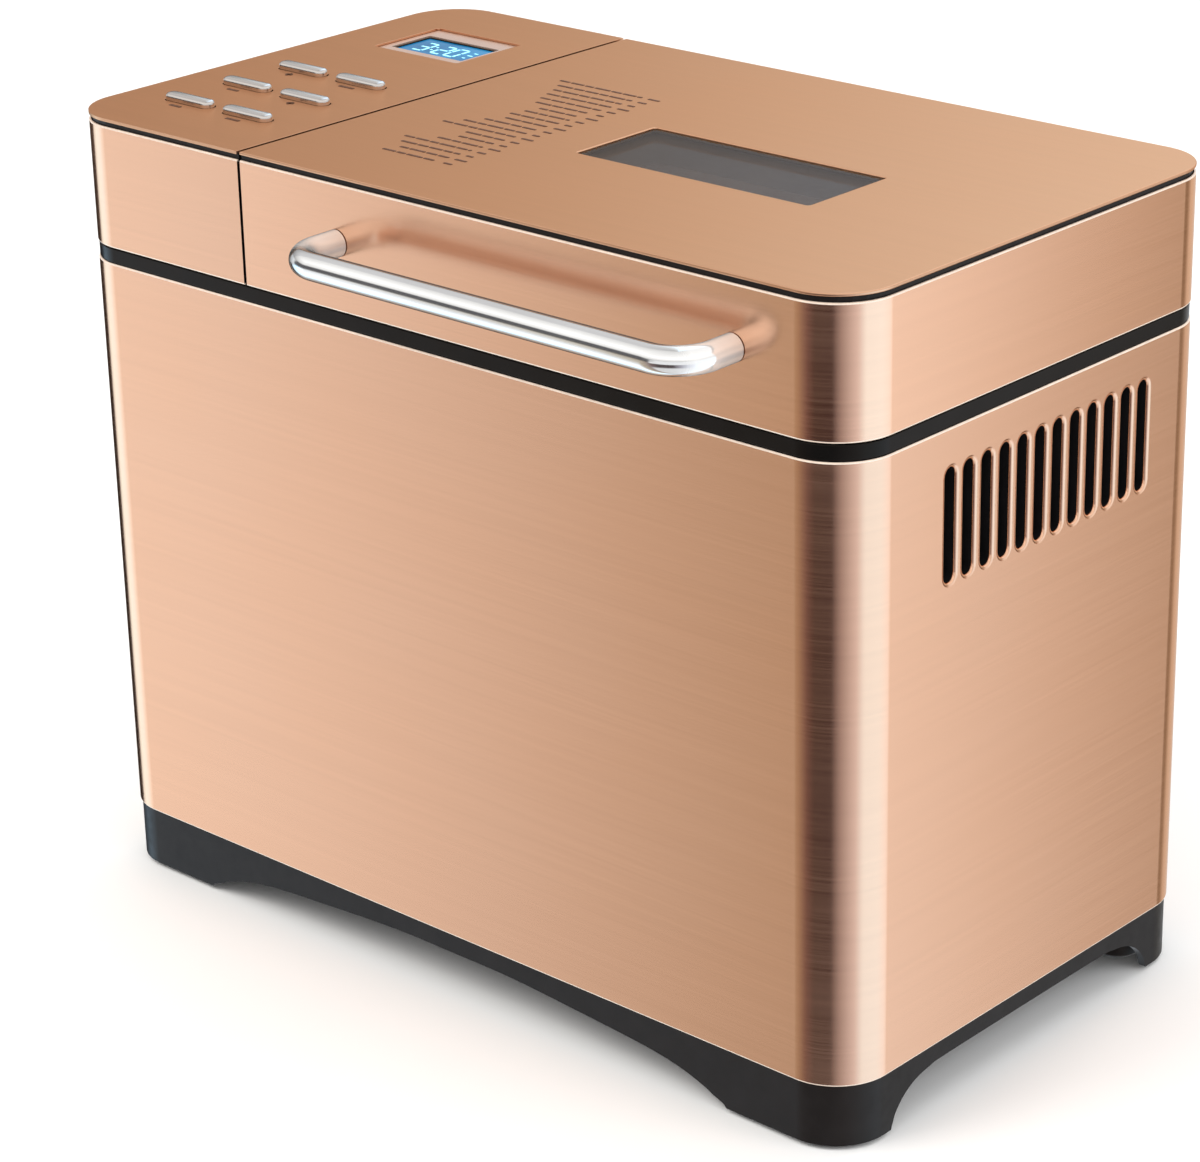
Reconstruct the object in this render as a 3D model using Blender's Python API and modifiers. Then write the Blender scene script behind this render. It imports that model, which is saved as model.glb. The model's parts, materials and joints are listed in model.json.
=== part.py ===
"""Countertop bread machine: brushed metal housing, hinged lid with a window, and the drive, heater and
pan inside it. Metres, +Z up, front towards -Y. The origin is under the middle of the whole machine, handle
and hinges included, on the surface that it stands on."""

import math

import bmesh
import bpy
from mathutils import Matrix, Vector

# Driving dimensions, in metres.
WIDTH = 0.370
DEPTH = 0.205
CORNER_R = 0.022
HANDLE_REACH = 0.029
HINGE_REACH = 0.008
SKIN = 0.0008
GAP = 0.0003
WALL = 0.002

# Plan positions that follow from them.
X_RIGHT = WIDTH / 2
X_LEFT = -X_RIGHT
Y_FRONT = HANDLE_REACH - (DEPTH + HANDLE_REACH + HINGE_REACH) / 2
Y_BACK = Y_FRONT + DEPTH
Y_MID = (Y_FRONT + Y_BACK) / 2
X_SEAM = -0.0905
SEAM = 0.0014
X_PANEL = X_SEAM - SEAM / 2
X_LID = X_SEAM + SEAM / 2
X_PANEL_MID = (X_LEFT + X_PANEL) / 2
X_OVEN = 0.048

# Heights.
Z_PAD = 0.0015
Z_FLOOR = 0.0170
Z_WRAP = 0.0250
Z_DECK = 0.2500
Z_TIER = 0.2555
Z_SKIRT = 0.2560
Z_SKIRT_TOP = 0.3023
Z_PLATE = 0.3043
Z_TOP = 0.3055
Z_BUTTON = 0.3080
Z_BOARD = 0.2900
Z_BELT = 0.0240
BELT_SPACE = 0.0100
Z_CHASSIS = 0.0460
CHASSIS_T = 0.0020
Z_OVEN = 0.0580
Z_PAN = 0.0800
Z_PAN_RIM = 0.2230

# Openings and details of the top.
WINDOW = (0.0050, 0.1100, Y_FRONT + 0.0725, Y_FRONT + 0.1145)
DISPLAY = (X_PANEL_MID - 0.0225, X_PANEL_MID + 0.0225, Y_FRONT + 0.1365, Y_FRONT + 0.1725)
LCD = (X_PANEL_MID - 0.0190, X_PANEL_MID + 0.0190, Y_FRONT + 0.1425, Y_FRONT + 0.1640)
LONG_ARCH = [
    (0.1320, 0.0010),
    (0.1305, 0.0028),
    (0.1260, 0.0046),
    (0.1210, 0.0068),
    (0.1105, 0.0100),
    (0.0950, 0.0125),
    (0.0670, 0.0147),
    (0.0300, 0.0170),
]
SIDE_ARCH = [
    (0.0765, 0.0010),
    (0.0755, 0.0038),
    (0.0735, 0.0078),
    (0.0690, 0.0122),
    (0.0630, 0.0155),
    (0.0550, 0.0172),
    (0.0460, 0.0179),
]
BUTTON_NAMES = (
    "menu_button",
    "loaf_size_button",
    "crust_button",
    "time_up_button",
    "time_down_button",
    "start_stop_button",
)
BUTTON_L = 0.0240
BUTTON_W = 0.0060
BUTTON_DX = 0.0312
BUTTON_DY = 0.0288
BUTTON_Y0 = Y_FRONT + 0.0345

# Oven, pan and drive.
OVEN_HALF = (0.1130, 0.0800)
OVEN_R = 0.018
PAN_TOP_HALF = (0.0910, 0.0580)
PAN_BOTTOM_HALF = (0.0860, 0.0530)
PAN_RIM_HALF = (0.0950, 0.0620)
PAN_R = 0.018
X_MOTOR = -0.126
PULLEY_R = 0.0480
PINION_R = 0.0080
SHAFT_R = 0.0040
Z_HEATER = 0.0880
HEATER_END = 0.0130
Z_SENSOR = 0.1180
BAYONET_ANGLES = (30, 150, 270)
LOCK_LAG = 6
BAIL_Z = 0.2262
BAIL_R = 0.00175
EAR_X = 0.0965

# Hinge of the lid.
HINGE_XS = {"left": X_OVEN - 0.067, "right": X_OVEN + 0.067}
HINGE_Y = Y_BACK + 0.0042
HINGE_Z = 0.2575
KNUCKLE_R = 0.0038
PIN_R = 0.0020

# Handle.
BAR_R = 0.0050
BAR_BEND = 0.0140
HANDLE_HALF = 0.0900
HANDLE_Z = 0.2810

# Vents in the right side.
VENT_COUNT = 12
VENT_PITCH = 0.0099
VENT_W = 0.0058
VENT_Y0 = Y_FRONT + 0.0535
VENT_Z = (0.1955, 0.2358)

COLOURS = {
    "rose_steel": ((0.78, 0.52, 0.38), 0.32, 1.0),
    "black_plastic": ((0.03, 0.03, 0.032), 0.5, 0.0),
    "chrome": ((0.9, 0.9, 0.9), 0.08, 1.0),
    "silver_plastic": ((0.72, 0.70, 0.68), 0.3, 0.6),
    "rubber": ((0.02, 0.02, 0.02), 0.9, 0.0),
    "glass": ((0.8, 0.85, 0.85), 0.05, 0.0),
    "oven_steel": ((0.55, 0.55, 0.54), 0.45, 1.0),
    "zinc_steel": ((0.6, 0.6, 0.58), 0.5, 1.0),
    "nonstick": ((0.06, 0.06, 0.065), 0.45, 0.2),
    "display_blue": ((0.05, 0.35, 0.8), 0.2, 0.0),
    "display_bezel": ((0.45, 0.28, 0.19), 0.35, 0.4),
    "circuit_board": ((0.05, 0.22, 0.1), 0.5, 0.0),
    "heater": ((0.25, 0.24, 0.23), 0.5, 0.9),
    "brass": ((0.75, 0.6, 0.3), 0.35, 1.0),
    "silicone": ((0.25, 0.24, 0.23), 0.7, 0.0),
    "white_plastic": ((0.8, 0.8, 0.76), 0.5, 0.0),
}


def start_scene():
    """Clears the scene and makes the two collections: the machine, and the shapes that cut or join."""
    for obj in list(bpy.data.objects):
        bpy.data.objects.remove(obj)
    made = []
    for name in ("bread_machine", "cutters"):
        collection = bpy.data.collections.new(name)
        bpy.context.scene.collection.children.link(collection)
        made.append(collection)
    return made


MACHINE, CUTTERS = start_scene()


def material(name):
    found = bpy.data.materials.get(name)
    if found:
        return found
    colour, roughness, metallic = COLOURS[name]
    made = bpy.data.materials.new(name)
    made.use_nodes = True
    shader = made.node_tree.nodes["Principled BSDF"]
    shader.inputs["Base Color"].default_value = (*colour, 1.0)
    shader.inputs["Roughness"].default_value = roughness
    shader.inputs["Metallic"].default_value = metallic
    return made


def place(name, data, finish):
    """Links a new object for a mesh or curve. With no finish it is a helper, kept out of the model."""
    obj = bpy.data.objects.new(name, data)
    (MACHINE if finish else CUTTERS).objects.link(obj)
    if finish:
        data.materials.append(material(finish))
    else:
        obj.hide_render = True
        obj.display_type = "WIRE"
    return obj


def mesh_object(name, bm, finish):
    mesh = bpy.data.meshes.new(name)
    bm.to_mesh(mesh)
    bm.free()
    mesh.shade_smooth()
    mesh.set_sharp_from_angle(angle=math.radians(35))
    return place(name, mesh, finish)


def to_mesh(obj, finish):
    """The curve as a mesh object with its caps welded."""
    name = obj.name
    bpy.context.view_layer.update()
    evaluated = obj.evaluated_get(bpy.context.evaluated_depsgraph_get())
    mesh = bpy.data.meshes.new_from_object(evaluated)
    bm = bmesh.new()
    bm.from_mesh(mesh)
    bmesh.ops.remove_doubles(bm, verts=bm.verts, dist=1e-6)
    matrix = obj.matrix_world.copy()
    bpy.data.objects.remove(obj)
    bpy.data.meshes.remove(mesh)
    made = mesh_object(name, bm, finish)
    made.matrix_world = matrix
    return made


def box(name, x, y, z, finish=None):
    """A box between the pairs x, y and z."""
    bm = bmesh.new()
    bmesh.ops.create_cube(bm, size=1.0)
    size = Vector((x[1] - x[0], y[1] - y[0], z[1] - z[0]))
    middle = Vector((sum(x), sum(y), sum(z))) / 2
    bm.transform(Matrix.Translation(middle) @ Matrix.Diagonal((*size, 1.0)))
    return mesh_object(name, bm, finish)


def cylinder(name, radius, start, end, finish=None, sides=32):
    """A round bar between two points."""
    start, end = Vector(start), Vector(end)
    along = end - start
    bm = bmesh.new()
    bmesh.ops.create_cone(bm, cap_ends=True, segments=sides, radius1=radius, radius2=radius, depth=along.length)
    turn = Vector((0, 0, 1)).rotation_difference(along).to_matrix().to_4x4()
    bm.transform(Matrix.Translation((start + end) / 2) @ turn)
    return mesh_object(name, bm, finish)


def turned(name, profile, centre, finish=None, steps=32):
    """A turned piece: a closed profile of (radius, height) points that runs down its outer side."""
    bm = bmesh.new()
    verts = [bm.verts.new((r, 0, z)) for r, z in profile]
    for a, b in zip(verts, verts[1:]):
        bm.edges.new((a, b))
    if profile[0][0] > 0:
        bm.edges.new((verts[-1], verts[0]))
    obj = mesh_object(name, bm, finish)
    obj.location = (centre[0], centre[1], 0)
    screw = obj.modifiers.new("turn", "SCREW")
    screw.steps = steps
    screw.render_steps = steps
    screw.use_merge_vertices = True
    screw.merge_threshold = 0.00001
    return obj


def plate(name, outlines, z0, z1, finish=None):
    """A flat piece from z0 to z1: its outline, then the outlines of its holes."""
    curve = bpy.data.curves.new(name, "CURVE")
    curve.dimensions = "2D"
    curve.fill_mode = "BOTH"
    curve.extrude = (z1 - z0) / 2
    for outline in outlines:
        spline = curve.splines.new("POLY")
        spline.points.add(len(outline) - 1)
        for point, (x, y) in zip(spline.points, outline):
            point.co = (x, y, 0, 1)
        spline.use_cyclic_u = True
    obj = bpy.data.objects.new(name, curve)
    obj.location.z = (z0 + z1) / 2
    CUTTERS.objects.link(obj)
    return to_mesh(obj, finish)


def loft(name, rings, finish=None, hollow=False):
    """A closed skin through outlines of equal point counts, given as (outline, height). The first and last
    are capped, or joined to each other when the middle is open."""
    bm = bmesh.new()
    loops = [[bm.verts.new((x, y, z)) for x, y in outline] for outline, z in rings]
    if not hollow:
        bm.faces.new(list(reversed(loops[0])))
        bm.faces.new(loops[-1])
    for low, high in zip(loops, loops[1:] + loops[:1] if hollow else loops[1:]):
        for i in range(len(low)):
            j = (i + 1) % len(low)
            bm.faces.new((low[i], low[j], high[j], high[i]))
    bmesh.ops.recalc_face_normals(bm, faces=bm.faces)
    return mesh_object(name, bm, finish)


def tube(name, points, radius, finish, resolution=4):
    """A round bar bent along points, as a mesh."""
    curve = bpy.data.curves.new(name, "CURVE")
    curve.dimensions = "3D"
    curve.bevel_depth = radius
    curve.bevel_resolution = resolution
    curve.use_fill_caps = True
    spline = curve.splines.new("POLY")
    spline.points.add(len(points) - 1)
    for point, co in zip(spline.points, points):
        point.co = (*co, 1)
    obj = bpy.data.objects.new(name, curve)
    CUTTERS.objects.link(obj)
    return to_mesh(obj, finish)


def combine(obj, helpers, operation):
    for helper in helpers:
        boolean = obj.modifiers.new(helper.name, "BOOLEAN")
        boolean.operation = operation
        boolean.object = helper
        boolean.solver = "EXACT"
    return obj


def cut(obj, *helpers):
    return combine(obj, helpers, "DIFFERENCE")


def join(obj, *helpers):
    return combine(obj, helpers, "UNION")


def round_edges(obj, width, segments=2, angle=40):
    bevel = obj.modifiers.new("round", "BEVEL")
    bevel.width = width
    bevel.segments = segments
    bevel.limit_method = "ANGLE"
    bevel.angle_limit = math.radians(angle)
    return obj


def rounded(x0, x1, y0, y1, radii, steps=5):
    """A rectangle's outline, anticlockwise from its front left corner, each corner an arc of its own radius."""
    corners = ((x0, y0, 180), (x1, y0, 270), (x1, y1, 0), (x0, y1, 90))
    outline = []
    for (x, y, start), r in zip(corners, radii):
        if r <= 0:
            outline.append((x, y))
            continue
        cx = x + r if x == x0 else x - r
        cy = y + r if y == y0 else y - r
        for i in range(steps + 1):
            a = math.radians(start + 90 * i / steps)
            outline.append((cx + r * math.cos(a), cy + r * math.sin(a)))
    return outline


def about(centre, half, r, steps=5):
    """A rounded rectangle about a centre."""
    (cx, cy), (hx, hy) = centre, half
    return rounded(cx - hx, cx + hx, cy - hy, cy + hy, (r,) * 4, steps)


def body_outline(inset, steps=7):
    """The whole machine's outline, moved inwards by inset."""
    r = CORNER_R - inset
    return rounded(X_LEFT + inset, X_RIGHT - inset, Y_FRONT + inset, Y_BACK - inset, (r,) * 4, steps)


def lid_outline(inset, seam_inset=0.0, steps=7):
    """The lid's outline: round at its right corners and square along the seam."""
    r = CORNER_R - inset
    return rounded(
        X_LID + seam_inset, X_RIGHT - inset, Y_FRONT + inset, Y_BACK - inset, (0, r, r, 0), steps
    )


def panel_outline(inset, seam_inset=0.0, steps=7):
    """The control panel's outline: round at its left corners and square along the seam."""
    r = CORNER_R - inset
    return rounded(
        X_LEFT + inset, X_PANEL - seam_inset, Y_FRONT + inset, Y_BACK - inset, (r, 0, 0, r), steps
    )


def grown(rect, by):
    x0, x1, y0, y1 = rect
    return (x0 - by, x1 + by, y0 - by, y1 + by)


def sector(centre, r0, r1, middle, width, steps=6):
    """The outline of a piece of a ring, with its middle and width in degrees."""
    angles = [math.radians(middle + width * (i / steps - 0.5)) for i in range(steps + 1)]
    outer = [(centre[0] + r1 * math.cos(a), centre[1] + r1 * math.sin(a)) for a in angles]
    inner = [(centre[0] + r0 * math.cos(a), centre[1] + r0 * math.sin(a)) for a in angles]
    return outer + inner[::-1]


def circle(centre, r, steps=24):
    angles = [2 * math.pi * i / steps for i in range(steps)]
    return [(centre[0] + r * math.cos(a), centre[1] + r * math.sin(a)) for a in angles]


OVEN_C = (X_OVEN, Y_MID)
MOTOR_C = (X_MOTOR, Y_MID)


def skirt_arch(name, profile, along_x, face):
    """The cutter that leaves two feet on one side of the skirt. profile runs from a foot in to the crown."""
    half = profile + [(0.0, profile[-1][1])]
    end = profile[0][0]
    points = [(-end, -0.01), (end, -0.01), *half, *[(-x, z) for x, z in reversed(profile)]]
    cutter = plate(name, [points], -0.0045, 0.0045)
    stand = Matrix.Rotation(math.radians(90), 4, "X")
    turn = Matrix.Rotation(math.radians(90), 4, "Z") if along_x else Matrix.Identity(4)
    shift = Matrix.Translation((face, Y_MID, 0) if along_x else (0, face, 0))
    cutter.matrix_world = shift @ turn @ stand
    return cutter


def make_base():
    """The moulded base: an arched skirt with a foot at each corner, a floor, and the upstand in the wrap."""
    wall, sill, rise = 0.0038, 0.0008, SKIN + GAP
    base = loft(
        "base_tray",
        [
            (body_outline(wall), Z_FLOOR),
            (body_outline(wall), Z_PAD),
            (body_outline(sill), Z_PAD),
            (body_outline(sill), Z_WRAP - GAP),
            (body_outline(rise), Z_WRAP - GAP),
            (body_outline(rise), Z_WRAP + 0.0080),
            (body_outline(rise + WALL), Z_WRAP + 0.0080),
            (body_outline(rise + WALL), Z_FLOOR + 0.0025),
        ],
        "black_plastic",
    )
    for i, (y, x) in enumerate(((Y_FRONT, X_LEFT), (Y_BACK, X_RIGHT))):
        cut(base, skirt_arch(f"long_arch_{i}", LONG_ARCH, False, y))
        cut(base, skirt_arch(f"side_arch_{i}", SIDE_ARCH, True, x))
    inset = 0.0190
    corners = [(x, y) for x in (X_LEFT + inset, X_RIGHT - inset) for y in (Y_FRONT + inset, Y_BACK - inset)]
    for i, (x, y) in enumerate(corners):
        socket = turned(
            f"pad_socket_{i}",
            [
                (0.0, Z_FLOOR + 0.001),
                (0.0100, Z_FLOOR + 0.001),
                (0.0100, Z_PAD),
                (0.0080, Z_PAD),
                (0.0080, 0.0050),
                (0.0, 0.0050),
            ],
            (x, y),
            steps=16,
        )
        join(base, socket)
        cylinder(f"foot_pad_{i + 1}", 0.0075, (x, y, 0), (x, y, 0.0046), "rubber", 20)
    posts = [(-0.165, Y_MID - 0.075), (-0.165, Y_MID + 0.075), (0.150, Y_MID - 0.070), (0.150, Y_MID + 0.070)]
    for i, (x, y) in enumerate(posts):
        post = cylinder(f"base_post_{i}", 0.0060, (x, y, Z_FLOOR + 0.001), (x, y, Z_CHASSIS - GAP), None, 20)
        join(base, post)
    slots = 7
    for i in range(slots):
        x = X_OVEN + (i - (slots - 1) / 2) * 0.014
        vent = box(f"base_vent_{i}", (x - 0.0025, x + 0.0025), (Y_BACK - 0.060, Y_BACK - 0.025), (0.010, 0.022))
        cut(base, vent)
    return base


def vent_cutter(index):
    """One upright slot with round ends, cut through the right side."""
    y = VENT_Y0 + VENT_PITCH * index
    r = VENT_W / 2
    low, high = VENT_Z[0] + r, VENT_Z[1] - r
    arc = [math.radians(180 * i / 6) for i in range(7)]
    outline = [(y + r * math.cos(a), high + r * math.sin(a)) for a in arc]
    outline += [(y - r * math.cos(a), low - r * math.sin(a)) for a in arc]
    cutter = plate(f"vent_{index}", [outline], -0.004, 0.004)
    cutter.matrix_world = Matrix.Translation((X_RIGHT, 0, 0)) @ Matrix(
        ((0, 0, 1, 0), (1, 0, 0, 0), (0, 1, 0, 0), (0, 0, 0, 1))
    )
    return cutter


def make_wrap():
    """The sheet wrapped round the body, with the vents and the hole for the cord's bush."""
    wrap = plate("body_wrap", [body_outline(0), body_outline(SKIN)], Z_WRAP, Z_DECK - GAP, "rose_steel")
    cut(wrap, *[vent_cutter(i) for i in range(VENT_COUNT)])
    cut(wrap, cylinder("bush_hole", 0.0090, (X_MOTOR, Y_BACK - 0.004, 0.060), (X_MOTOR, Y_BACK + 0.004, 0.060)))
    bush = turned(
        "cord_bush",
        [(0.0115, 0.0025), (0.0115, GAP), (0.0086, GAP), (0.0086, -0.0120), (0.0050, -0.0120), (0.0050, 0.0025)],
        (0, 0),
        "black_plastic",
        steps=24,
    )
    bush.matrix_world = Matrix.Translation((X_MOTOR, Y_BACK, 0.060)) @ Matrix.Rotation(math.radians(-90), 4, "X")
    return wrap


def make_deck():
    """The moulded deck between the body and the upper tier, with the upstand round the oven's mouth."""
    mouth = about(OVEN_C, (OVEN_HALF[0] + 0.001, OVEN_HALF[1] + 0.001), OVEN_R + 0.001)
    wiring = rounded(X_PANEL_MID - 0.020, X_PANEL_MID + 0.020, Y_MID - 0.035, Y_MID + 0.035, (0.004,) * 4)
    outer = about(OVEN_C, (OVEN_HALF[0] + 0.0035, OVEN_HALF[1] + 0.0035), OVEN_R + 0.0035)
    lip = SKIN + GAP
    deck = loft(
        "deck",
        [
            (body_outline(0.0004, 5), Z_DECK),
            (body_outline(0.0004, 5), Z_TIER),
            (outer, Z_TIER),
            (outer, Z_TIER + 0.0030),
            (mouth, Z_TIER + 0.0030),
            (mouth, Z_DECK),
            (body_outline(lip + WALL, 5), Z_DECK),
            (body_outline(lip + WALL, 5), Z_DECK - 0.0070),
            (body_outline(lip, 5), Z_DECK - 0.0070),
            (body_outline(lip, 5), Z_DECK),
        ],
        "black_plastic",
        hollow=True,
    )
    cut(deck, plate("wiring_hole", [wiring], Z_DECK - 0.004, Z_TIER + 0.004))
    return deck


def make_oven():
    """The sheet steel oven, with holes for the shaft, the heater's ends and the sensor."""
    hx, hy = OVEN_HALF
    sheet = SKIN
    low, high = Z_OVEN, Z_DECK - 0.0005
    flange = 0.006
    oven = loft(
        "oven_cavity",
        [
            (about(OVEN_C, (hx + sheet, hy + sheet), OVEN_R + sheet), low),
            (about(OVEN_C, (hx + sheet, hy + sheet), OVEN_R + sheet), high - sheet),
            (about(OVEN_C, (hx + flange, hy + flange), OVEN_R + flange), high - sheet),
            (about(OVEN_C, (hx + flange, hy + flange), OVEN_R + flange), high),
            (about(OVEN_C, (hx, hy), OVEN_R), high),
            (about(OVEN_C, (hx, hy), OVEN_R), low + sheet),
        ],
        "oven_steel",
    )
    shaft_hole = cylinder("oven_shaft_hole", 0.0065, (*OVEN_C, low - 0.004), (*OVEN_C, low + 0.004), None, 24)
    cut(oven, shaft_hole)
    wall = X_OVEN - hx
    heater_ends = [(Y_MID + side * HEATER_END, Z_HEATER, 0.0042) for side in (-1, 1)]
    for i, (y, z, r) in enumerate([*heater_ends, (Y_MID + 0.040, Z_SENSOR, 0.0036)]):
        cut(oven, cylinder(f"oven_hole_{i}", r, (wall - 0.006, y, z), (wall + 0.006, y, z), None, 16))
    y = Y_MID + 0.040
    ends = [(wall + x, y, Z_SENSOR) for x in (-0.020, 0.006)]
    cylinder("temperature_sensor", 0.0030, *ends, "zinc_steel", 16)
    for side, y in (("front", Y_MID - 0.058), ("back", Y_MID + 0.058)):
        box(
            f"oven_rail_{side}",
            (X_OVEN - 0.100, X_OVEN + 0.100),
            (y - 0.006, y + 0.006),
            (Z_CHASSIS + CHASSIS_T + GAP, Z_OVEN - GAP),
            "zinc_steel",
        )
    return oven


def bend(corner, before, after, r, steps=5):
    """Points of a round bend of radius r where a path turns at corner from the way before to the way after."""
    corner, before, after = Vector(corner), Vector(before).normalized(), Vector(after).normalized()
    centre = corner + (after - before) * r
    return [
        centre + (before * math.sin(a) - after * math.cos(a)) * r
        for a in (math.pi / 2 * i / steps for i in range(steps + 1))
    ]


def make_heater():
    """The tubular heater: one loop round the foot of the pan, its two ends out through the oven's left wall."""
    hx, hy = 0.104, 0.071
    r = 0.020
    z = Z_HEATER
    left, right = X_OVEN - hx, X_OVEN + hx
    front, back = Y_MID - hy, Y_MID + hy
    out = X_OVEN - OVEN_HALF[0] - 0.020
    x_way, y_way = Vector((1, 0, 0)), Vector((0, 1, 0))
    path = [Vector((out, Y_MID - HEATER_END, z))]
    path += bend((left, Y_MID - HEATER_END, z), x_way, -y_way, 0.008)
    path += bend((left, front, z), -y_way, x_way, r)
    path += bend((right, front, z), x_way, y_way, r)
    path += bend((right, back, z), y_way, -x_way, r)
    path += bend((left, back, z), -x_way, -y_way, r)
    path += bend((left, Y_MID + HEATER_END, z), -y_way, -x_way, 0.008)
    path.append(Vector((out, Y_MID + HEATER_END, z)))
    heater = tube("heating_element", path, 0.0033, "heater", resolution=2)
    clip_x = (right - 0.0065, X_OVEN + OVEN_HALF[0] - GAP)
    clip = box("heater_clip", clip_x, (Y_MID - 0.006, Y_MID + 0.006), (z - 0.0065, z + 0.0065), "zinc_steel")
    cut(clip, cylinder("clip_bore", 0.0036, (right, Y_MID - 0.02, z), (right, Y_MID + 0.02, z), None, 16))
    return heater


def make_chassis():
    """The steel plate that carries the motor, the bearing and the oven."""
    centre = ((-0.172 + 0.160) / 2, Y_MID)
    outline = about(centre, (0.166, 0.080), 0.010)
    plate(
        "chassis_plate",
        [outline, circle(OVEN_C, 0.0115), circle(MOTOR_C, 0.0120)],
        Z_CHASSIS,
        Z_CHASSIS + CHASSIS_T,
        "zinc_steel",
    )
    top = Z_CHASSIS + CHASSIS_T + GAP
    turned(
        "bearing_housing",
        [
            (0.0110, Z_OVEN - GAP),
            (0.0110, top + 0.0025),
            (0.0220, top + 0.0025),
            (0.0220, top),
            (0.0110, top),
            (0.0110, 0.0370),
            (0.0062, 0.0370),
            (0.0062, Z_OVEN - GAP),
        ],
        OVEN_C,
        "zinc_steel",
    )
    turned(
        "shaft_bush",
        [(0.0059, Z_OVEN - 0.0006), (0.0059, 0.0374), (SHAFT_R + GAP, 0.0374), (SHAFT_R + GAP, Z_OVEN - 0.0006)],
        OVEN_C,
        "brass",
        steps=24,
    )


def pulley_profile(radius, bore, z0, z1):
    """A flanged pulley's profile, down its outer side and back up its bore."""
    rim = 0.0012
    flange = radius + 0.0022
    return [
        (flange, z1),
        (flange, z1 - rim),
        (radius, z1 - rim),
        (radius, z0 + rim),
        (flange, z0 + rim),
        (flange, z0),
        (bore, z0),
        (bore, z1),
    ]


def belt_outline(r_large, r_small):
    """The outline of a belt round the large pulley, at +X, and the small one."""
    span = X_OVEN - X_MOTOR
    lean = math.acos((r_large - r_small) / span)
    steps = 20
    outline = []
    for i in range(steps + 1):
        a = -(math.pi - lean) + 2 * (math.pi - lean) * i / steps
        outline.append((X_OVEN + r_large * math.cos(a), Y_MID + r_large * math.sin(a)))
    for i in range(9):
        a = (math.pi - lean) + 2 * lean * i / 8
        outline.append((X_MOTOR + r_small * math.cos(a), Y_MID + r_small * math.sin(a)))
    return outline


def make_drive():
    """Motor, belt, pulleys, shaft and the coupler that turns the pan's shaft."""
    z0, z1 = Z_BELT, Z_BELT + BELT_SPACE
    grooved = pulley_profile(PULLEY_R, SHAFT_R + GAP, z0, z1)
    big = turned("large_pulley", grooved, OVEN_C, "black_plastic", steps=36)
    for i in range(5):
        a = math.radians(72 * i + 36)
        x, y = X_OVEN + 0.028 * math.cos(a), Y_MID + 0.028 * math.sin(a)
        cut(big, cylinder(f"pulley_hole_{i}", 0.0100, (x, y, z0 - 0.004), (x, y, z1 + 0.004), None, 16))
    cylinder("drive_shaft", SHAFT_R, (*OVEN_C, z0 - 0.0020), (*OVEN_C, 0.0640), "zinc_steel", 24)
    belt_in, belt_t = 0.0004, 0.0014
    plate(
        "drive_belt",
        [
            belt_outline(PULLEY_R + belt_in + belt_t, PINION_R + belt_in + belt_t),
            belt_outline(PULLEY_R + belt_in, PINION_R + belt_in),
        ],
        z0 + 0.0016,
        z1 - 0.0016,
        "rubber",
    )
    foot = Z_OVEN + SKIN + 0.0008
    coupler = turned(
        "drive_coupler",
        [(0.0160, 0.0630), (0.0160, foot), (SHAFT_R + GAP, foot), (SHAFT_R + GAP, 0.0630)],
        OVEN_C,
        "zinc_steel",
    )
    for i, middle in enumerate((0, 180)):
        join(coupler, plate(f"coupler_post_{i}", [sector(OVEN_C, 0.0085, 0.0150, middle, 56)], 0.0615, 0.0715))
    pinion = turned("motor_pulley", pulley_profile(PINION_R, 0.0033, z0, z1), MOTOR_C, "black_plastic", steps=32)
    cylinder("motor_shaft", 0.0030, (*MOTOR_C, z0 - 0.0015), (*MOTOR_C, 0.0700), "zinc_steel", 20)
    base = Z_CHASSIS + CHASSIS_T + GAP
    turned(
        "motor_body",
        [
            (0.0, 0.1230),
            (0.0120, 0.1230),
            (0.0140, 0.1180),
            (0.0340, 0.1160),
            (0.0365, 0.1100),
            (0.0365, base + 0.010),
            (0.0340, base + 0.004),
            (0.0340, base),
            (0.0035, base),
            (0.0035, 0.0720),
            (0.0, 0.0720),
        ],
        MOTOR_C,
        "zinc_steel",
    )
    x, y = -0.096, Y_MID + 0.058
    cylinder("motor_capacitor", 0.0150, (x, y, base), (x, y, 0.0980), "white_plastic", 24)
    return pinion


def make_pan_socket():
    """The ring on the oven's floor that locks the pan: three hooks over the lugs of the pan's foot."""
    low, top = Z_OVEN + SKIN + GAP, 0.0712
    socket = turned(
        "pan_socket",
        [
            (0.0420, top),
            (0.0420, low + 0.0018),
            (0.0480, low + 0.0018),
            (0.0480, low),
            (0.0378, low),
            (0.0378, top),
        ],
        OVEN_C,
        "zinc_steel",
        steps=36,
    )
    for i, a in enumerate(BAYONET_ANGLES):
        join(socket, plate(f"socket_hook_{i}", [sector(OVEN_C, 0.0361, 0.0400, a, 14)], 0.0676, top - 0.0002))
    foot = turned(
        "pan_foot",
        [(0.0355, Z_PAN - GAP), (0.0355, 0.0625), (0.0325, 0.0625), (0.0325, Z_PAN - GAP)],
        OVEN_C,
        "zinc_steel",
        steps=36,
    )
    for i, a in enumerate(BAYONET_ANGLES):
        join(foot, plate(f"foot_lug_{i}", [sector(OVEN_C, 0.0340, 0.0374, a - LOCK_LAG, 14)], 0.0640, 0.0672))
    return socket


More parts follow.
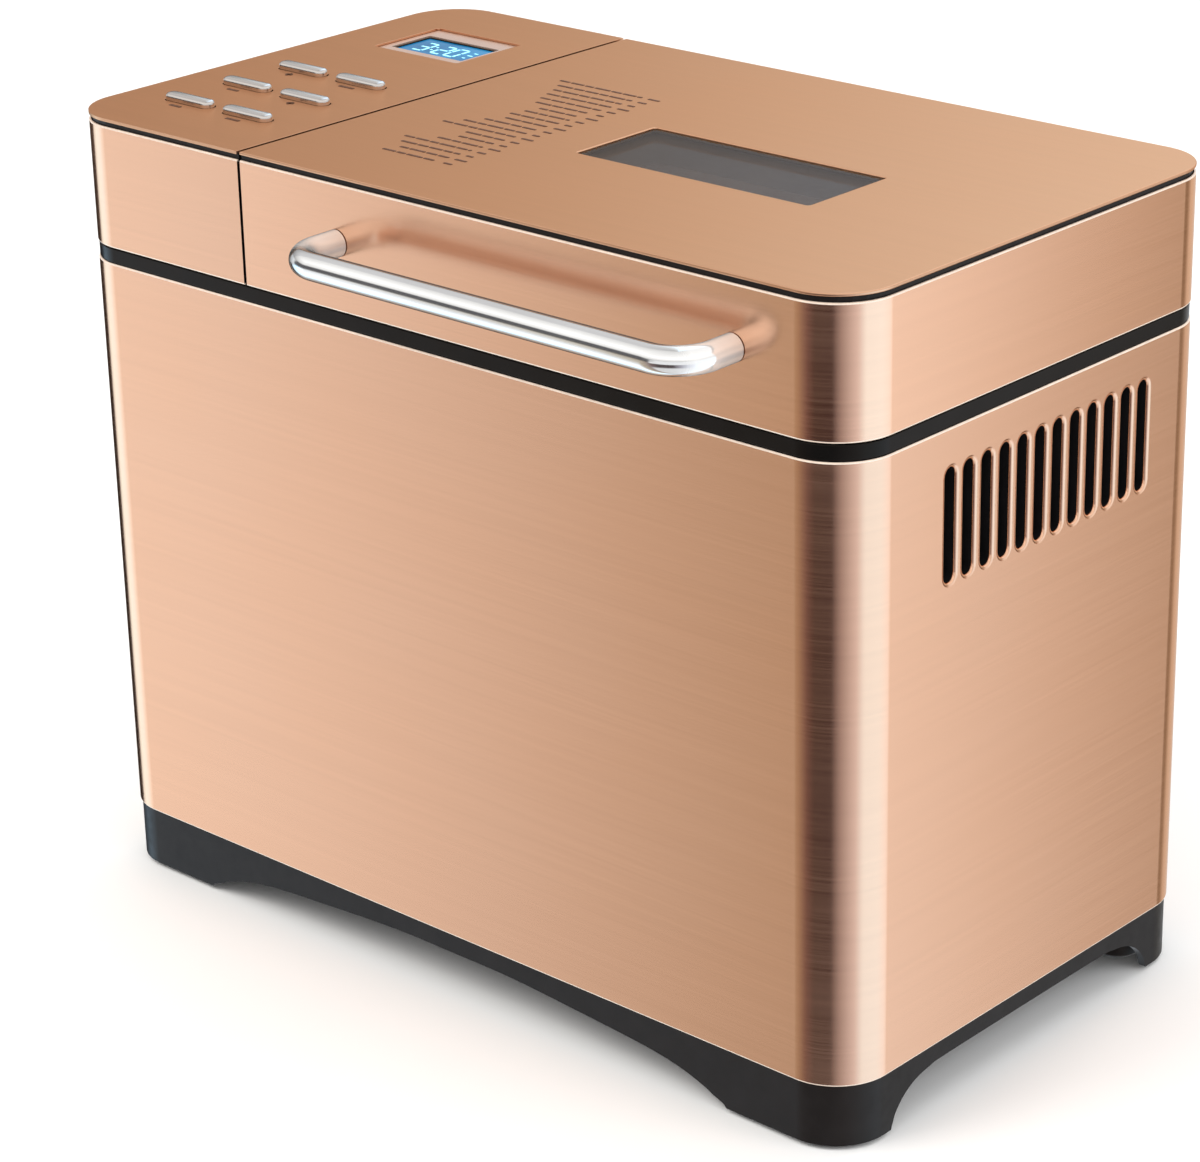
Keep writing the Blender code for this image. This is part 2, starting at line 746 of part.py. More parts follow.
def make_pan():
    """The lift-out pan with its rim and ears, its bail, shaft, lower coupler and kneading paddle."""
    sheet = 0.0012
    hx, hy = PAN_TOP_HALF
    bx, by = PAN_BOTTOM_HALF
    rim = PAN_RIM_HALF
    pan = loft(
        "bread_pan",
        [
            (about(OVEN_C, (bx, by), PAN_R), Z_PAN),
            (about(OVEN_C, (hx, hy), PAN_R), Z_PAN_RIM - 0.003),
            (about(OVEN_C, rim, PAN_R + 0.004), Z_PAN_RIM - 0.003),
            (about(OVEN_C, rim, PAN_R + 0.004), Z_PAN_RIM),
            (about(OVEN_C, (hx - sheet, hy - sheet), PAN_R - sheet), Z_PAN_RIM),
            (about(OVEN_C, (bx - sheet, by - sheet), PAN_R - sheet), Z_PAN + sheet),
        ],
        "nonstick",
    )
    for i, side in enumerate((-1, 1)):
        x = X_OVEN + side * EAR_X
        ear_z = (Z_PAN_RIM - 0.014, BAIL_Z + 0.005)
        ear = box(f"pan_ear_{i}", (x - 0.0008, x + 0.0008), (Y_MID - 0.008, Y_MID + 0.008), ear_z)
        join(pan, ear)
        tie_x = sorted((X_OVEN + side * (hx - 0.0005), x + side * 0.0005))
        tie_z = (Z_PAN_RIM - 0.0135, Z_PAN_RIM - 0.001)
        tie = box(f"ear_tie_{i}", tie_x, (Y_MID - 0.0075, Y_MID + 0.0075), tie_z)
        join(pan, tie)
        hole = cylinder(f"ear_hole_{i}", 0.0022, (x - 0.004, Y_MID, BAIL_Z), (x + 0.004, Y_MID, BAIL_Z), None, 16)
        cut(pan, hole)
    hole = cylinder("pan_shaft_hole", SHAFT_R + GAP, (*OVEN_C, Z_PAN - 0.004), (*OVEN_C, Z_PAN + 0.004), None, 24)
    cut(pan, hole)

    arm = 0.1003
    reach = 0.0580
    x_way, y_way = Vector((1, 0, 0)), Vector((0, 1, 0))
    left, right, front = X_OVEN - arm, X_OVEN + arm, Y_MID - reach
    path = [Vector((left + 0.0070, Y_MID, BAIL_Z))]
    path += bend((left, Y_MID, BAIL_Z), -x_way, -y_way, 0.0022, 4)
    path += bend((left, front, BAIL_Z), -y_way, x_way, 0.012, 4)
    path += bend((right, front, BAIL_Z), x_way, y_way, 0.012, 4)
    path += bend((right, Y_MID, BAIL_Z), y_way, -x_way, 0.0022, 4)
    path.append(Vector((right - 0.0070, Y_MID, BAIL_Z)))
    tube("pan_bail", path, BAIL_R, "chrome", resolution=2)

    cylinder("pan_shaft", SHAFT_R, (*OVEN_C, 0.0650), (*OVEN_C, 0.1050), "zinc_steel", 24)
    wing = turned(
        "pan_coupler",
        [(0.0070, 0.0722), (0.0070, 0.0655), (SHAFT_R + GAP, 0.0655), (SHAFT_R + GAP, 0.0722)],
        OVEN_C,
        "zinc_steel",
        steps=24,
    )
    for i, middle in enumerate((90, 270)):
        join(wing, plate(f"coupler_wing_{i}", [sector(OVEN_C, 0.0060, 0.0150, middle, 26)], 0.0660, 0.0712))
    low = Z_PAN + sheet + 0.0008
    paddle = turned(
        "kneading_paddle",
        [
            (0.0, 0.1110),
            (0.0060, 0.1110),
            (0.0085, 0.1085),
            (0.0105, low),
            (SHAFT_R + GAP, low),
            (SHAFT_R + GAP, 0.1055),
            (0.0, 0.1055),
        ],
        OVEN_C,
        "nonstick",
        steps=24,
    )
    blade_line = [(0.0065, low), (0.0400, low), (0.0420, low + 0.006)]
    for a in (0.3, 0.7, 1.1, 1.45):
        blade_line.append((0.0420 - 0.016 * math.sin(a), low + 0.006 + 0.034 * (1 - math.cos(a))))
    blade_line += [(0.0180, 0.1120), (0.0065, 0.1080)]
    blade = plate("paddle_blade", [blade_line], -0.0016, 0.0016)
    stand = Matrix.Rotation(math.radians(35), 4, "Z") @ Matrix.Rotation(math.radians(90), 4, "X")
    blade.matrix_world = Matrix.Translation((X_OVEN, Y_MID, 0)) @ stand
    join(paddle, blade)
    return pan


def along_hinge(name, radius, x0, x1, finish=None, sides=20):
    """A round bar on the lid's hinge line."""
    return cylinder(name, radius, (x0, HINGE_Y, HINGE_Z), (x1, HINGE_Y, HINGE_Z), finish, sides)


def make_lid():
    """The hinged lid: skirt, moulded frame with its knuckles, top plate, two panes, liner and seal."""
    strip = lid_outline(0)
    inner = lid_outline(SKIN)
    skirt = plate("lid_skirt", [strip + inner[::-1]], Z_SKIRT, Z_SKIRT_TOP, "rose_steel")
    for side, x in HINGE_XS.items():
        notch_y = (Y_BACK - 0.004, Y_BACK + 0.004)
        notch = box(f"skirt_notch_{side}", (x - 0.014, x + 0.014), notch_y, (Z_SKIRT - 0.004, 0.2640))
        cut(skirt, notch)

    inset = SKIN + GAP
    frame = loft(
        "lid_frame",
        [
            (lid_outline(inset + WALL, WALL), Z_SKIRT_TOP),
            (lid_outline(inset + WALL, WALL), Z_SKIRT + 0.0025),
            (lid_outline(inset), Z_SKIRT + 0.0025),
            (lid_outline(inset), Z_PLATE - GAP),
        ],
        "black_plastic",
    )
    cut(frame, plate("frame_window", [rounded(*grown(WINDOW, 0.0024), (0.001,) * 4, 2)], 0.295, 0.310))
    for side, x in HINGE_XS.items():
        arm_z = (HINGE_Z + 0.0004, HINGE_Z + 0.0036)
        arm = box(f"knuckle_arm_{side}", (x - 0.0058, x + 0.0058), (Y_BACK - 0.0030, HINGE_Y), arm_z)
        heel = box(
            f"knuckle_heel_{side}",
            (x - 0.0056, x + 0.0056),
            (Y_BACK - 0.0047, Y_BACK - 0.0020),
            (HINGE_Z + 0.0006, HINGE_Z + 0.0120),
        )
        barrel = along_hinge(f"knuckle_{side}", KNUCKLE_R, x - 0.0060, x + 0.0060, None, 24)
        bore = along_hinge(f"knuckle_bore_{side}", PIN_R + GAP, x - 0.02, x + 0.02)
        join(frame, arm, heel, barrel)
        cut(frame, bore)
    holes = [X_OVEN - HANDLE_HALF, X_OVEN + HANDLE_HALF]
    for i, x in enumerate(holes):
        for obj in (skirt, frame):
            ends = [(x, Y_FRONT + y, HANDLE_Z) for y in (-0.002, 0.006)]
            cut(obj, cylinder(f"{obj.name}_screw_hole_{i}", 0.0026, *ends, None, 16))

    opening = rounded(*WINDOW, (0.001,) * 4, 2)
    lid_top = plate("lid_plate", [lid_outline(0), opening], Z_PLATE, Z_TOP, "rose_steel")
    round_edges(lid_top, 0.0003, 1)
    hidden = rounded(*grown(WINDOW, 0.0020), (0.001,) * 4, 2)
    pane = plate("lid_window", [hidden], Z_SKIRT_TOP + GAP, Z_PLATE - GAP, "glass")
    shown = rounded(*grown(WINDOW, -GAP), (0.001,) * 4, 2)
    join(pane, plate("window_step", [shown], Z_SKIRT_TOP + 0.0010, Z_TOP - 0.0006))
    make_liner()
    make_handle()
    return frame


def make_liner():
    """The stamped liner under the lid, domed over the oven, with the inner pane and the seal."""
    low, high = 0.2594, 0.2880
    sheet = SKIN
    middle = ((X_LID + X_RIGHT) / 2, Y_MID)
    flange = about(middle, (0.1310, 0.0965), 0.016)
    foot_in, foot_out = (0.1175, 0.0845), (0.1175 + sheet, 0.0845 + sheet)
    head_in, head_out = (0.1110, 0.0780), (0.1110 + sheet, 0.0780 + sheet)
    liner = loft(
        "lid_liner",
        [
            (about(OVEN_C, head_out, OVEN_R), high + sheet),
            (about(OVEN_C, foot_out, OVEN_R), low + sheet),
            (flange, low + sheet),
            (flange, low),
            (about(OVEN_C, foot_in, OVEN_R), low),
            (about(OVEN_C, head_in, OVEN_R), high),
        ],
        "oven_steel",
    )
    cut(liner, plate("liner_window", [rounded(*WINDOW, (0.004,) * 4, 3)], high - 0.004, high + 0.004))
    pane = rounded(*grown(WINDOW, 0.0040), (0.004,) * 4, 3)
    plate("inner_window", [pane], high + sheet + GAP, high + sheet + GAP + 0.002, "glass")
    seal_in = about(OVEN_C, (0.1205, 0.0875), 0.020)
    seal_out = about(OVEN_C, (0.1245, 0.0915), 0.024)
    plate("lid_seal", [seal_out, seal_in], Z_TIER + 0.0006, low - GAP, "silicone")


def make_handle():
    """The bowed bar across the lid's front, and the two screws that hold it from inside."""
    y_bar = Y_FRONT - (HANDLE_REACH - BAR_R)
    start = Y_FRONT - GAP
    left, right = X_OVEN - HANDLE_HALF, X_OVEN + HANDLE_HALF
    x_way, y_way = Vector((1, 0, 0)), Vector((0, 1, 0))
    path = [Vector((left, start, HANDLE_Z))]
    path += bend((left, y_bar, HANDLE_Z), -y_way, x_way, BAR_BEND, 7)
    path += bend((right, y_bar, HANDLE_Z), x_way, y_way, BAR_BEND, 7)
    path.append(Vector((right, start, HANDLE_Z)))
    handle = tube("handle", path, BAR_R, "chrome", resolution=5)
    thread_r = 0.0018
    for side, x in (("left", left), ("right", right)):
        ends = [(x, start + y, HANDLE_Z) for y in (-0.0090, 0.002)]
        cut(handle, cylinder(f"handle_hole_{side}", thread_r + GAP, *ends, None, 16))
        inside = Y_FRONT + SKIN + GAP + WALL + GAP
        screw = turned(
            f"handle_screw_{side}",
            [(0.0, 0.0026), (0.0030, 0.0024), (0.0038, 0.0), (thread_r, 0.0), (thread_r, -0.0110), (0.0, -0.0110)],
            (0, 0),
            "zinc_steel",
            steps=16,
        )
        screw.matrix_world = Matrix.Translation((x, inside, HANDLE_Z)) @ Matrix.Rotation(math.radians(-90), 4, "X")


def make_hinges():
    """The two brackets on the body's back that carry the lid's knuckles, with their pins."""
    for side, x in HINGE_XS.items():
        face = Y_BACK + GAP
        leaf = (0.2300, HINGE_Z - KNUCKLE_R - 0.0012)
        wide = (x - 0.0115, x + 0.0115)
        bracket = box(f"hinge_bracket_{side}", wide, (face, face + 0.0030), leaf, "black_plastic")
        for i, (x0, x1) in enumerate(((x - 0.0115, x - 0.0064), (x + 0.0064, x + 0.0115))):
            ear = box(f"bracket_ear_{side}_{i}", (x0, x1), (face, HINGE_Y + KNUCKLE_R - 0.0008), (0.2400, HINGE_Z))
            barrel = along_hinge(f"bracket_barrel_{side}_{i}", KNUCKLE_R, x0, x1, None, 24)
            join(bracket, ear, barrel)
        cut(bracket, along_hinge(f"bracket_bore_{side}", PIN_R + GAP, x - 0.03, x + 0.03))
        along_hinge(f"hinge_pin_{side}", PIN_R, x - 0.0112, x + 0.0112, "zinc_steel")


def pill(centre, length, width, steps=4):
    """The outline of a bar with round ends, along X."""
    r = width / 2
    x, y = centre
    return rounded(x - length / 2, x + length / 2, y - r, y + r, (r * 0.99,) * 4, steps)


def button_places():
    """Each button's name and centre, in rows from the front."""
    places = []
    for i, name in enumerate(BUTTON_NAMES):
        column, row = i % 2, i // 2
        places.append((name, (X_PANEL_MID + (column - 0.5) * BUTTON_DX, BUTTON_Y0 + row * BUTTON_DY)))
    return places


def make_panel():
    """The fixed control section at the left: skirt, frame, top plate, display, buttons and board."""
    strip = panel_outline(0)
    inner = panel_outline(SKIN)
    turn = len(strip) // 2
    outer_line = strip[turn:] + strip[:turn]
    inner_line = inner[turn:] + inner[:turn]
    plate("panel_skirt", [outer_line + inner_line[::-1]], Z_SKIRT, Z_SKIRT_TOP, "rose_steel")

    inset = SKIN + GAP
    frame = loft(
        "panel_frame",
        [
            (panel_outline(inset + WALL, WALL), Z_SKIRT_TOP),
            (panel_outline(inset + WALL, WALL), Z_TIER + GAP),
            (panel_outline(inset), Z_TIER + GAP),
            (panel_outline(inset), Z_PLATE - GAP),
        ],
        "black_plastic",
    )
    caps = [pill(centre, BUTTON_L + 0.001, BUTTON_W + 0.001, 4) for _, centre in button_places()]
    display_hole = rounded(*DISPLAY, (0.001,) * 4, 2)
    for i, outline in enumerate((display_hole, *caps)):
        cut(frame, plate(f"frame_hole_{i}", [outline], 0.295, 0.310))
    for i, (x, y) in enumerate(((-0.172, -0.070), (-0.104, -0.070), (-0.172, 0.088), (-0.104, 0.088))):
        ends = [(x, y, z) for z in (Z_BOARD + 0.0019, Z_SKIRT_TOP + 0.001)]
        join(frame, cylinder(f"panel_post_{i}", 0.0030, *ends, None, 12))
    panel_top = plate("panel_plate", [panel_outline(0), display_hole, *caps], Z_PLATE, Z_TOP, "rose_steel")
    round_edges(panel_top, 0.0003, 1)

    inner_edge = grown(DISPLAY, -GAP)
    lcd_hole = rounded(*LCD, (0.0006,) * 4, 2)
    surround = [rounded(*inner_edge, (0.001,) * 4, 2), lcd_hole]
    plate("display_bezel", surround, 0.2995, Z_TOP - 0.0009, "display_bezel")
    plate("lcd_glass", [rounded(*grown(LCD, -GAP), (0.0006,) * 4, 2)], 0.2975, Z_TOP - 0.0018, "display_blue")
    make_board()
    for name, centre in button_places():
        make_button(name, centre)


def make_board():
    """The control board with a switch under each button and the block that carries the display."""
    outline = rounded(-0.179, -0.0965, -0.076, 0.094, (0.003,) * 4, 2)
    board = plate("control_board", [outline], Z_BOARD, Z_BOARD + 0.0016, "circuit_board")
    for name, (x, y) in button_places():
        switch_z = (Z_BOARD + 0.001, Z_BOARD + 0.0050)
        join(board, box(f"{name}_switch", (x - 0.003, x + 0.003), (y - 0.003, y + 0.003), switch_z))
    x0, x1, y0, y1 = LCD
    join(board, box("display_block", (x0, x1), (y0, y1), (Z_BOARD + 0.001, 0.2972)))
    x_wall = X_LEFT + 0.009
    y = (Y_MID - 0.060, Y_MID + 0.060)
    supply = box("power_board", (x_wall, x_wall + 0.0016), y, (0.140, 0.230), "circuit_board")
    parts = (
        (-0.050, -0.020, 0.150, 0.180, 0.024),
        (-0.005, 0.015, 0.150, 0.170, 0.016),
        (0.025, 0.050, 0.185, 0.220, 0.018),
    )
    for i, (ya, yb, za, zb, tall) in enumerate(parts):
        join(supply, box(f"supply_part_{i}", (x_wall + 0.001, x_wall + tall), (Y_MID + ya, Y_MID + yb), (za, zb)))
    return board


def make_button(name, centre):
    """One button: a bar with round ends above the plate, a flange that keeps it in, and a stem to its switch."""
    cap = plate(name, [pill(centre, BUTTON_L, BUTTON_W)], 0.2992, Z_BUTTON, "silver_plastic")
    round_edges(cap, 0.0010, 1, 60)
    flange = plate(f"{name}_flange", [pill(centre, BUTTON_L + 0.004, BUTTON_W + 0.004)], 0.2988, 0.3006)
    x, y = centre
    stem = cylinder(f"{name}_stem", 0.0020, (x, y, Z_BOARD + 0.0063), (x, y, 0.2995), None, 12)
    join(cap, flange, stem)


make_base()
make_wrap()
make_deck()
make_oven()
make_heater()
make_chassis()
make_drive()
make_pan_socket()
make_pan()
make_lid()
make_hinges()
make_panel()
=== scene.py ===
"""The bread machine's looks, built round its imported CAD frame."""

import json
import math

import bmesh
import bpy
from mathutils import Matrix, Vector


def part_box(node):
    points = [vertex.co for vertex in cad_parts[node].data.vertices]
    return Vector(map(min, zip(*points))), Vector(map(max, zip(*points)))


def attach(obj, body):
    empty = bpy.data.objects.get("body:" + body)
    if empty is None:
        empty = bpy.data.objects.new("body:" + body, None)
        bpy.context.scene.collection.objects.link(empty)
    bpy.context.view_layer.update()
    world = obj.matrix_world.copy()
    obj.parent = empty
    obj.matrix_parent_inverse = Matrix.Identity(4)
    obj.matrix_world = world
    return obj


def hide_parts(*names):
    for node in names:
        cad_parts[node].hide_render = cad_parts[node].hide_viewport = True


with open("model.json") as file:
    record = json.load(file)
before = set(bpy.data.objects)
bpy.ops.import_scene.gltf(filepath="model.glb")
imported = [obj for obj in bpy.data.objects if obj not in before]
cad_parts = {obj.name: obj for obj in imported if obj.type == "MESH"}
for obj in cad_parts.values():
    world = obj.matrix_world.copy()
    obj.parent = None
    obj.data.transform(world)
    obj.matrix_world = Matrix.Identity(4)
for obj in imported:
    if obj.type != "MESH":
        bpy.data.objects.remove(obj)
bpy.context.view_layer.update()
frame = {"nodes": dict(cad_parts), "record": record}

# ---------------------------------------------------------------- places, all from the frame
(X0, Y0, Z_WRAP), (X1, Y1, Z_WRAP_TOP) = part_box("body_wrap")
Y_MID = (Y0 + Y1) / 2
CORNER_R = 0.022
SKIN = 0.0008
GAP = 0.0003
(_, _, Z_DECK_LOW), (_, _, Z_DECK_TOP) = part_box("deck")
(X_LID, _, Z_SKIRT), (_, _, Z_SKIRT_TOP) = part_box("lid_skirt")
_, (X_PANEL, _, _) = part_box("panel_skirt")
(_, _, Z_PLATE), (_, _, Z_TOP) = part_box("lid_plate")
Z_BAND, Z_TIER = Z_WRAP_TOP + GAP, Z_SKIRT - 0.0005
GLASS_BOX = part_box("lid_window")
WINDOW = (GLASS_BOX[0][0] + 0.002, GLASS_BOX[1][0] - 0.002, GLASS_BOX[0][1] + 0.002, GLASS_BOX[1][1] - 0.002)
LCD_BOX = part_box("lcd_glass")
BEZEL_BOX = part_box("display_bezel")
DISPLAY = (BEZEL_BOX[0][0] - GAP, BEZEL_BOX[1][0] + GAP, BEZEL_BOX[0][1] - GAP, BEZEL_BOX[1][1] + GAP)
OVEN_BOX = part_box("oven_cavity")
OVEN = ((OVEN_BOX[0][0] + OVEN_BOX[1][0]) / 2, (OVEN_BOX[0][1] + OVEN_BOX[1][1]) / 2)
HANDLE_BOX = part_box("handle")
BUTTONS = ("menu", "loaf_size", "crust", "time_up", "time_down", "start_stop")


# ---------------------------------------------------------------- camera, light, floor
def make_camera():
    yaw, pitch, roll = (math.radians(a) for a in (42.69, 22.36, -1.32))
    back = Vector((math.sin(yaw) * math.cos(pitch), -math.cos(yaw) * math.cos(pitch), math.sin(pitch)))
    right = Vector((math.cos(yaw), math.sin(yaw), 0))
    up = back.cross(right)
    right2 = math.cos(roll) * right + math.sin(roll) * up
    up2 = -math.sin(roll) * right + math.cos(roll) * up
    data = bpy.data.cameras.new("camera")
    data.sensor_width = 36.0
    data.lens = 110.33
    data.clip_start, data.clip_end = 0.01, 60
    cam = bpy.data.objects.new("camera", data)
    axes = Matrix((right2, up2, back)).transposed().to_4x4()
    cam.matrix_world = Matrix.Translation((0.8545, -0.9435 + Y_MID, 0.6563)) @ axes
    bpy.context.scene.collection.objects.link(cam)
    bpy.context.scene.camera = cam


def area_light(name, place, target, size, power, colour):
    data = bpy.data.lights.new(name, "AREA")
    data.shape = "RECTANGLE"
    data.size, data.size_y = size
    data.energy = power
    data.color = colour
    light = bpy.data.objects.new(name, data)
    light.location = place
    light.rotation_euler = (Vector(target) - Vector(place)).to_track_quat("-Z", "Y").to_euler()
    light.visible_glossy = False
    bpy.context.scene.collection.objects.link(light)


# The light tent, by degrees round the compass: 0 is +X and -90 is in front.
PANELS = [
    (-180, (0.50, 0.60, 0.70)), (-176, (1.20, 1.65, 2.05)), (-166, (1.34, 1.95, 2.45)),
    (-155, (1.32, 1.80, 2.25)), (-147, (1.28, 1.50, 1.68)), (-141, (1.18, 1.25, 1.33)),
    (-136, (0.90, 0.93, 0.97)), (-133, (0.72, 0.69, 0.64)), (-129, (0.52, 0.46, 0.37)),
    (-121, (0.46, 0.38, 0.29)), (-112, (0.32, 0.25, 0.22)), (-102, (0.14, 0.08, 0.08)),
    (-90, (0.04, 0.02, 0.02)), (-60, (0.03, 0.01, 0.015)), (-45, (0.37, 0.36, 0.42)),
    (-31, (0.62, 0.66, 0.77)), (-17, (0.86, 0.95, 1.13)), (-3, (1.16, 1.58, 1.95)),
    (28, (1.20, 1.62, 2.00)), (46, (1.27, 1.52, 1.80)), (50, (1.27, 1.42, 1.57)),
    (53, (1.10, 1.14, 1.20)), (56, (0.62, 0.56, 0.48)), (60, (0.27, 0.22, 0.16)),
    (68, (0.33, 0.28, 0.22)), (80, (0.78, 0.76, 0.72)), (112, (0.80, 0.84, 0.88)),
    (146, (0.80, 0.88, 0.96)), (153, (0.02, 0.015, 0.015)), (177, (0.02, 0.015, 0.015)),
]
SKY_TINT = [
    (-180, (0.75, 0.75, 0.75)), (-140, (1.0, 1.0, 1.0)), (20, (1.0, 1.0, 1.0)),
    (95, (0.92, 0.95, 1.0)), (116, (1.24, 1.62, 2.05)), (125, (1.24, 1.62, 2.05)),
    (130, (1.08, 1.34, 1.62)), (134, (0.86, 0.94, 1.00)), (140, (0.68, 0.69, 0.70)),
    (156, (0.62, 0.62, 0.64)),
]
WALLS = [
    (-180, (1.00, 1.05, 1.10)), (-100, (0.90, 0.92, 0.94)), (-30, (0.95, 0.98, 1.02)),
    (30, (1.10, 1.30, 1.50)), (48, (1.10, 1.22, 1.34)), (53, (0.90, 0.92, 0.95)),
    (57, (0.56, 0.50, 0.42)), (68, (0.50, 0.45, 0.38)), (84, (0.90, 0.90, 0.90)),
    (170, (0.95, 1.00, 1.05)),
]
WALLS_ROUND = [
    (-172, 1.0), (-164, 0.0), (-110, 0.0), (-104, 1.0), (102, 1.0), (110, 0.0), (156, 0.0),
    (163, 1.0),
]
FLAG_ROUND = [(-168, 0.0), (-158, 1.0), (-124, 1.0), (-92, 0.0)]
# The same, by degrees up from the horizon.
PANELS_UP = [(-11, 1.0), (-6, 0.30), (-2, 0.10), (0.18, 0.0)]
SKY_UP = [
    (0, 0.10), (4, 0.10), (8, 0.38), (11, 0.66), (14, 0.76), (20, 1.00), (32, 1.30), (50, 1.10),
    (90, 0.75),
]
WALLS_UP = [(-42, 0.85), (-32, 0.0), (-13, 0.0), (-10, 1.0), (9, 1.0), (12, 0.0)]
FLAG_UP = [(-4, 0.0), (-1, 1.0), (11, 1.0), (15, 0.0)]


def make_world():
    """White studio air. Gloss sees a light tent instead: panels with dark gaps below eye level, a soft sky
    above, bright walls level with the eye and underfoot, and a black flag that draws the dark line along the
    chrome bar."""
    world = bpy.data.worlds.new("studio")
    bpy.context.scene.world = world
    world.use_nodes = True
    tree = world.node_tree
    tree.nodes.clear()
    link = tree.links.new

    def node(kind, **settings):
        made = tree.nodes.new(kind)
        for key, value in settings.items():
            setattr(made, key, value)
        return made

    def fill(sockets, values):
        for socket, value in zip(sockets, values):
            if isinstance(value, bpy.types.NodeSocket):
                link(value, socket)
            else:
                socket.default_value = value

    def maths(operation, *values):
        made = node("ShaderNodeMath", operation=operation)
        fill(made.inputs, values)
        return made.outputs[0]

    def mixed(factor, a, b, mode="MIX"):
        made = node("ShaderNodeMix", data_type="RGBA", blend_type=mode)
        fill((made.inputs[0], made.inputs[6], made.inputs[7]), (factor, a, b))
        return made.outputs[2]

    coords = node("ShaderNodeTexCoord")
    split = node("ShaderNodeSeparateXYZ")
    link(coords.outputs["Generated"], split.inputs[0])
    x, y, z = split.outputs
    around = maths("ADD", maths("DIVIDE", maths("ARCTAN2", y, x), 2 * math.pi), 0.5)
    height = maths("ADD", maths("DIVIDE", maths("ARCSINE", z), math.pi), 0.5)

    def ramp(stops, angle):
        made = node("ShaderNodeValToRGB")
        elements = made.color_ramp.elements
        while len(elements) > 1:
            elements.remove(elements[-1])
        for i, (degrees, value) in enumerate(stops):
            position = 0.5 + degrees / (360 if angle is around else 180)
            element = elements[0] if i == 0 else elements.new(position)
            element.position = position
            element.color = (*value, 1) if isinstance(value, tuple) else (value, value, value, 1)
        link(angle, made.inputs[0])
        return made.outputs[0]

    below = mixed(1.0, ramp(PANELS, around), ramp(PANELS_UP, height), "MULTIPLY")
    above = mixed(1.0, ramp(SKY_UP, height), ramp(SKY_TINT, around), "MULTIPLY")
    tent = mixed(maths("GREATER_THAN", z, 0.0), below, above)
    walls = maths("MULTIPLY", ramp(WALLS_ROUND, around), ramp(WALLS_UP, height))
    tent = mixed(walls, tent, ramp(WALLS, around))
    flag = maths("MULTIPLY", ramp(FLAG_ROUND, around), ramp(FLAG_UP, height))
    tent = mixed(flag, tent, (0.05, 0.05, 0.06, 1))

    gloss = node("ShaderNodeBackground")
    fill(gloss.inputs, (tent, 1.0))
    air = node("ShaderNodeBackground")
    fill(air.inputs, ((1.0, 0.992, 0.982, 1), 0.98))
    mix = node("ShaderNodeMixShader")
    fill(mix.inputs, (node("ShaderNodeLightPath").outputs["Is Glossy Ray"], air.outputs[0], gloss.outputs[0]))
    link(mix.outputs[0], node("ShaderNodeOutputWorld").inputs[0])


def make_stage():
    bm = bmesh.new()
    bmesh.ops.create_circle(bm, cap_ends=True, segments=96, radius=9.0)
    mesh = bpy.data.meshes.new("floor")
    bm.to_mesh(mesh)
    bm.free()
    floor = bpy.data.objects.new("floor", mesh)
    floor.location.z = -0.0002
    floor.visible_glossy = False
    mesh.materials.append(surface("studio_floor", (0.955, 0.955, 0.95), 0.9, vary=(3, 0.01)))
    bpy.context.scene.collection.objects.link(floor)
    area_light("key", (-0.9, -1.5, 1.9), (0, 0, 0.15), (1.4, 1.4), 26, (1.0, 0.97, 0.93))
    area_light("fill", (1.9, 0.3, 1.3), (0, 0, 0.15), (1.2, 1.2), 12, (0.95, 0.97, 1.0))
    area_light("back", (0.2, 1.8, 1.5), (0, 0, 0.2), (1.2, 0.8), 9, (1, 1, 1))
    bpy.context.scene.view_settings.view_transform = "Standard"
    bpy.context.scene.view_settings.look = "None"


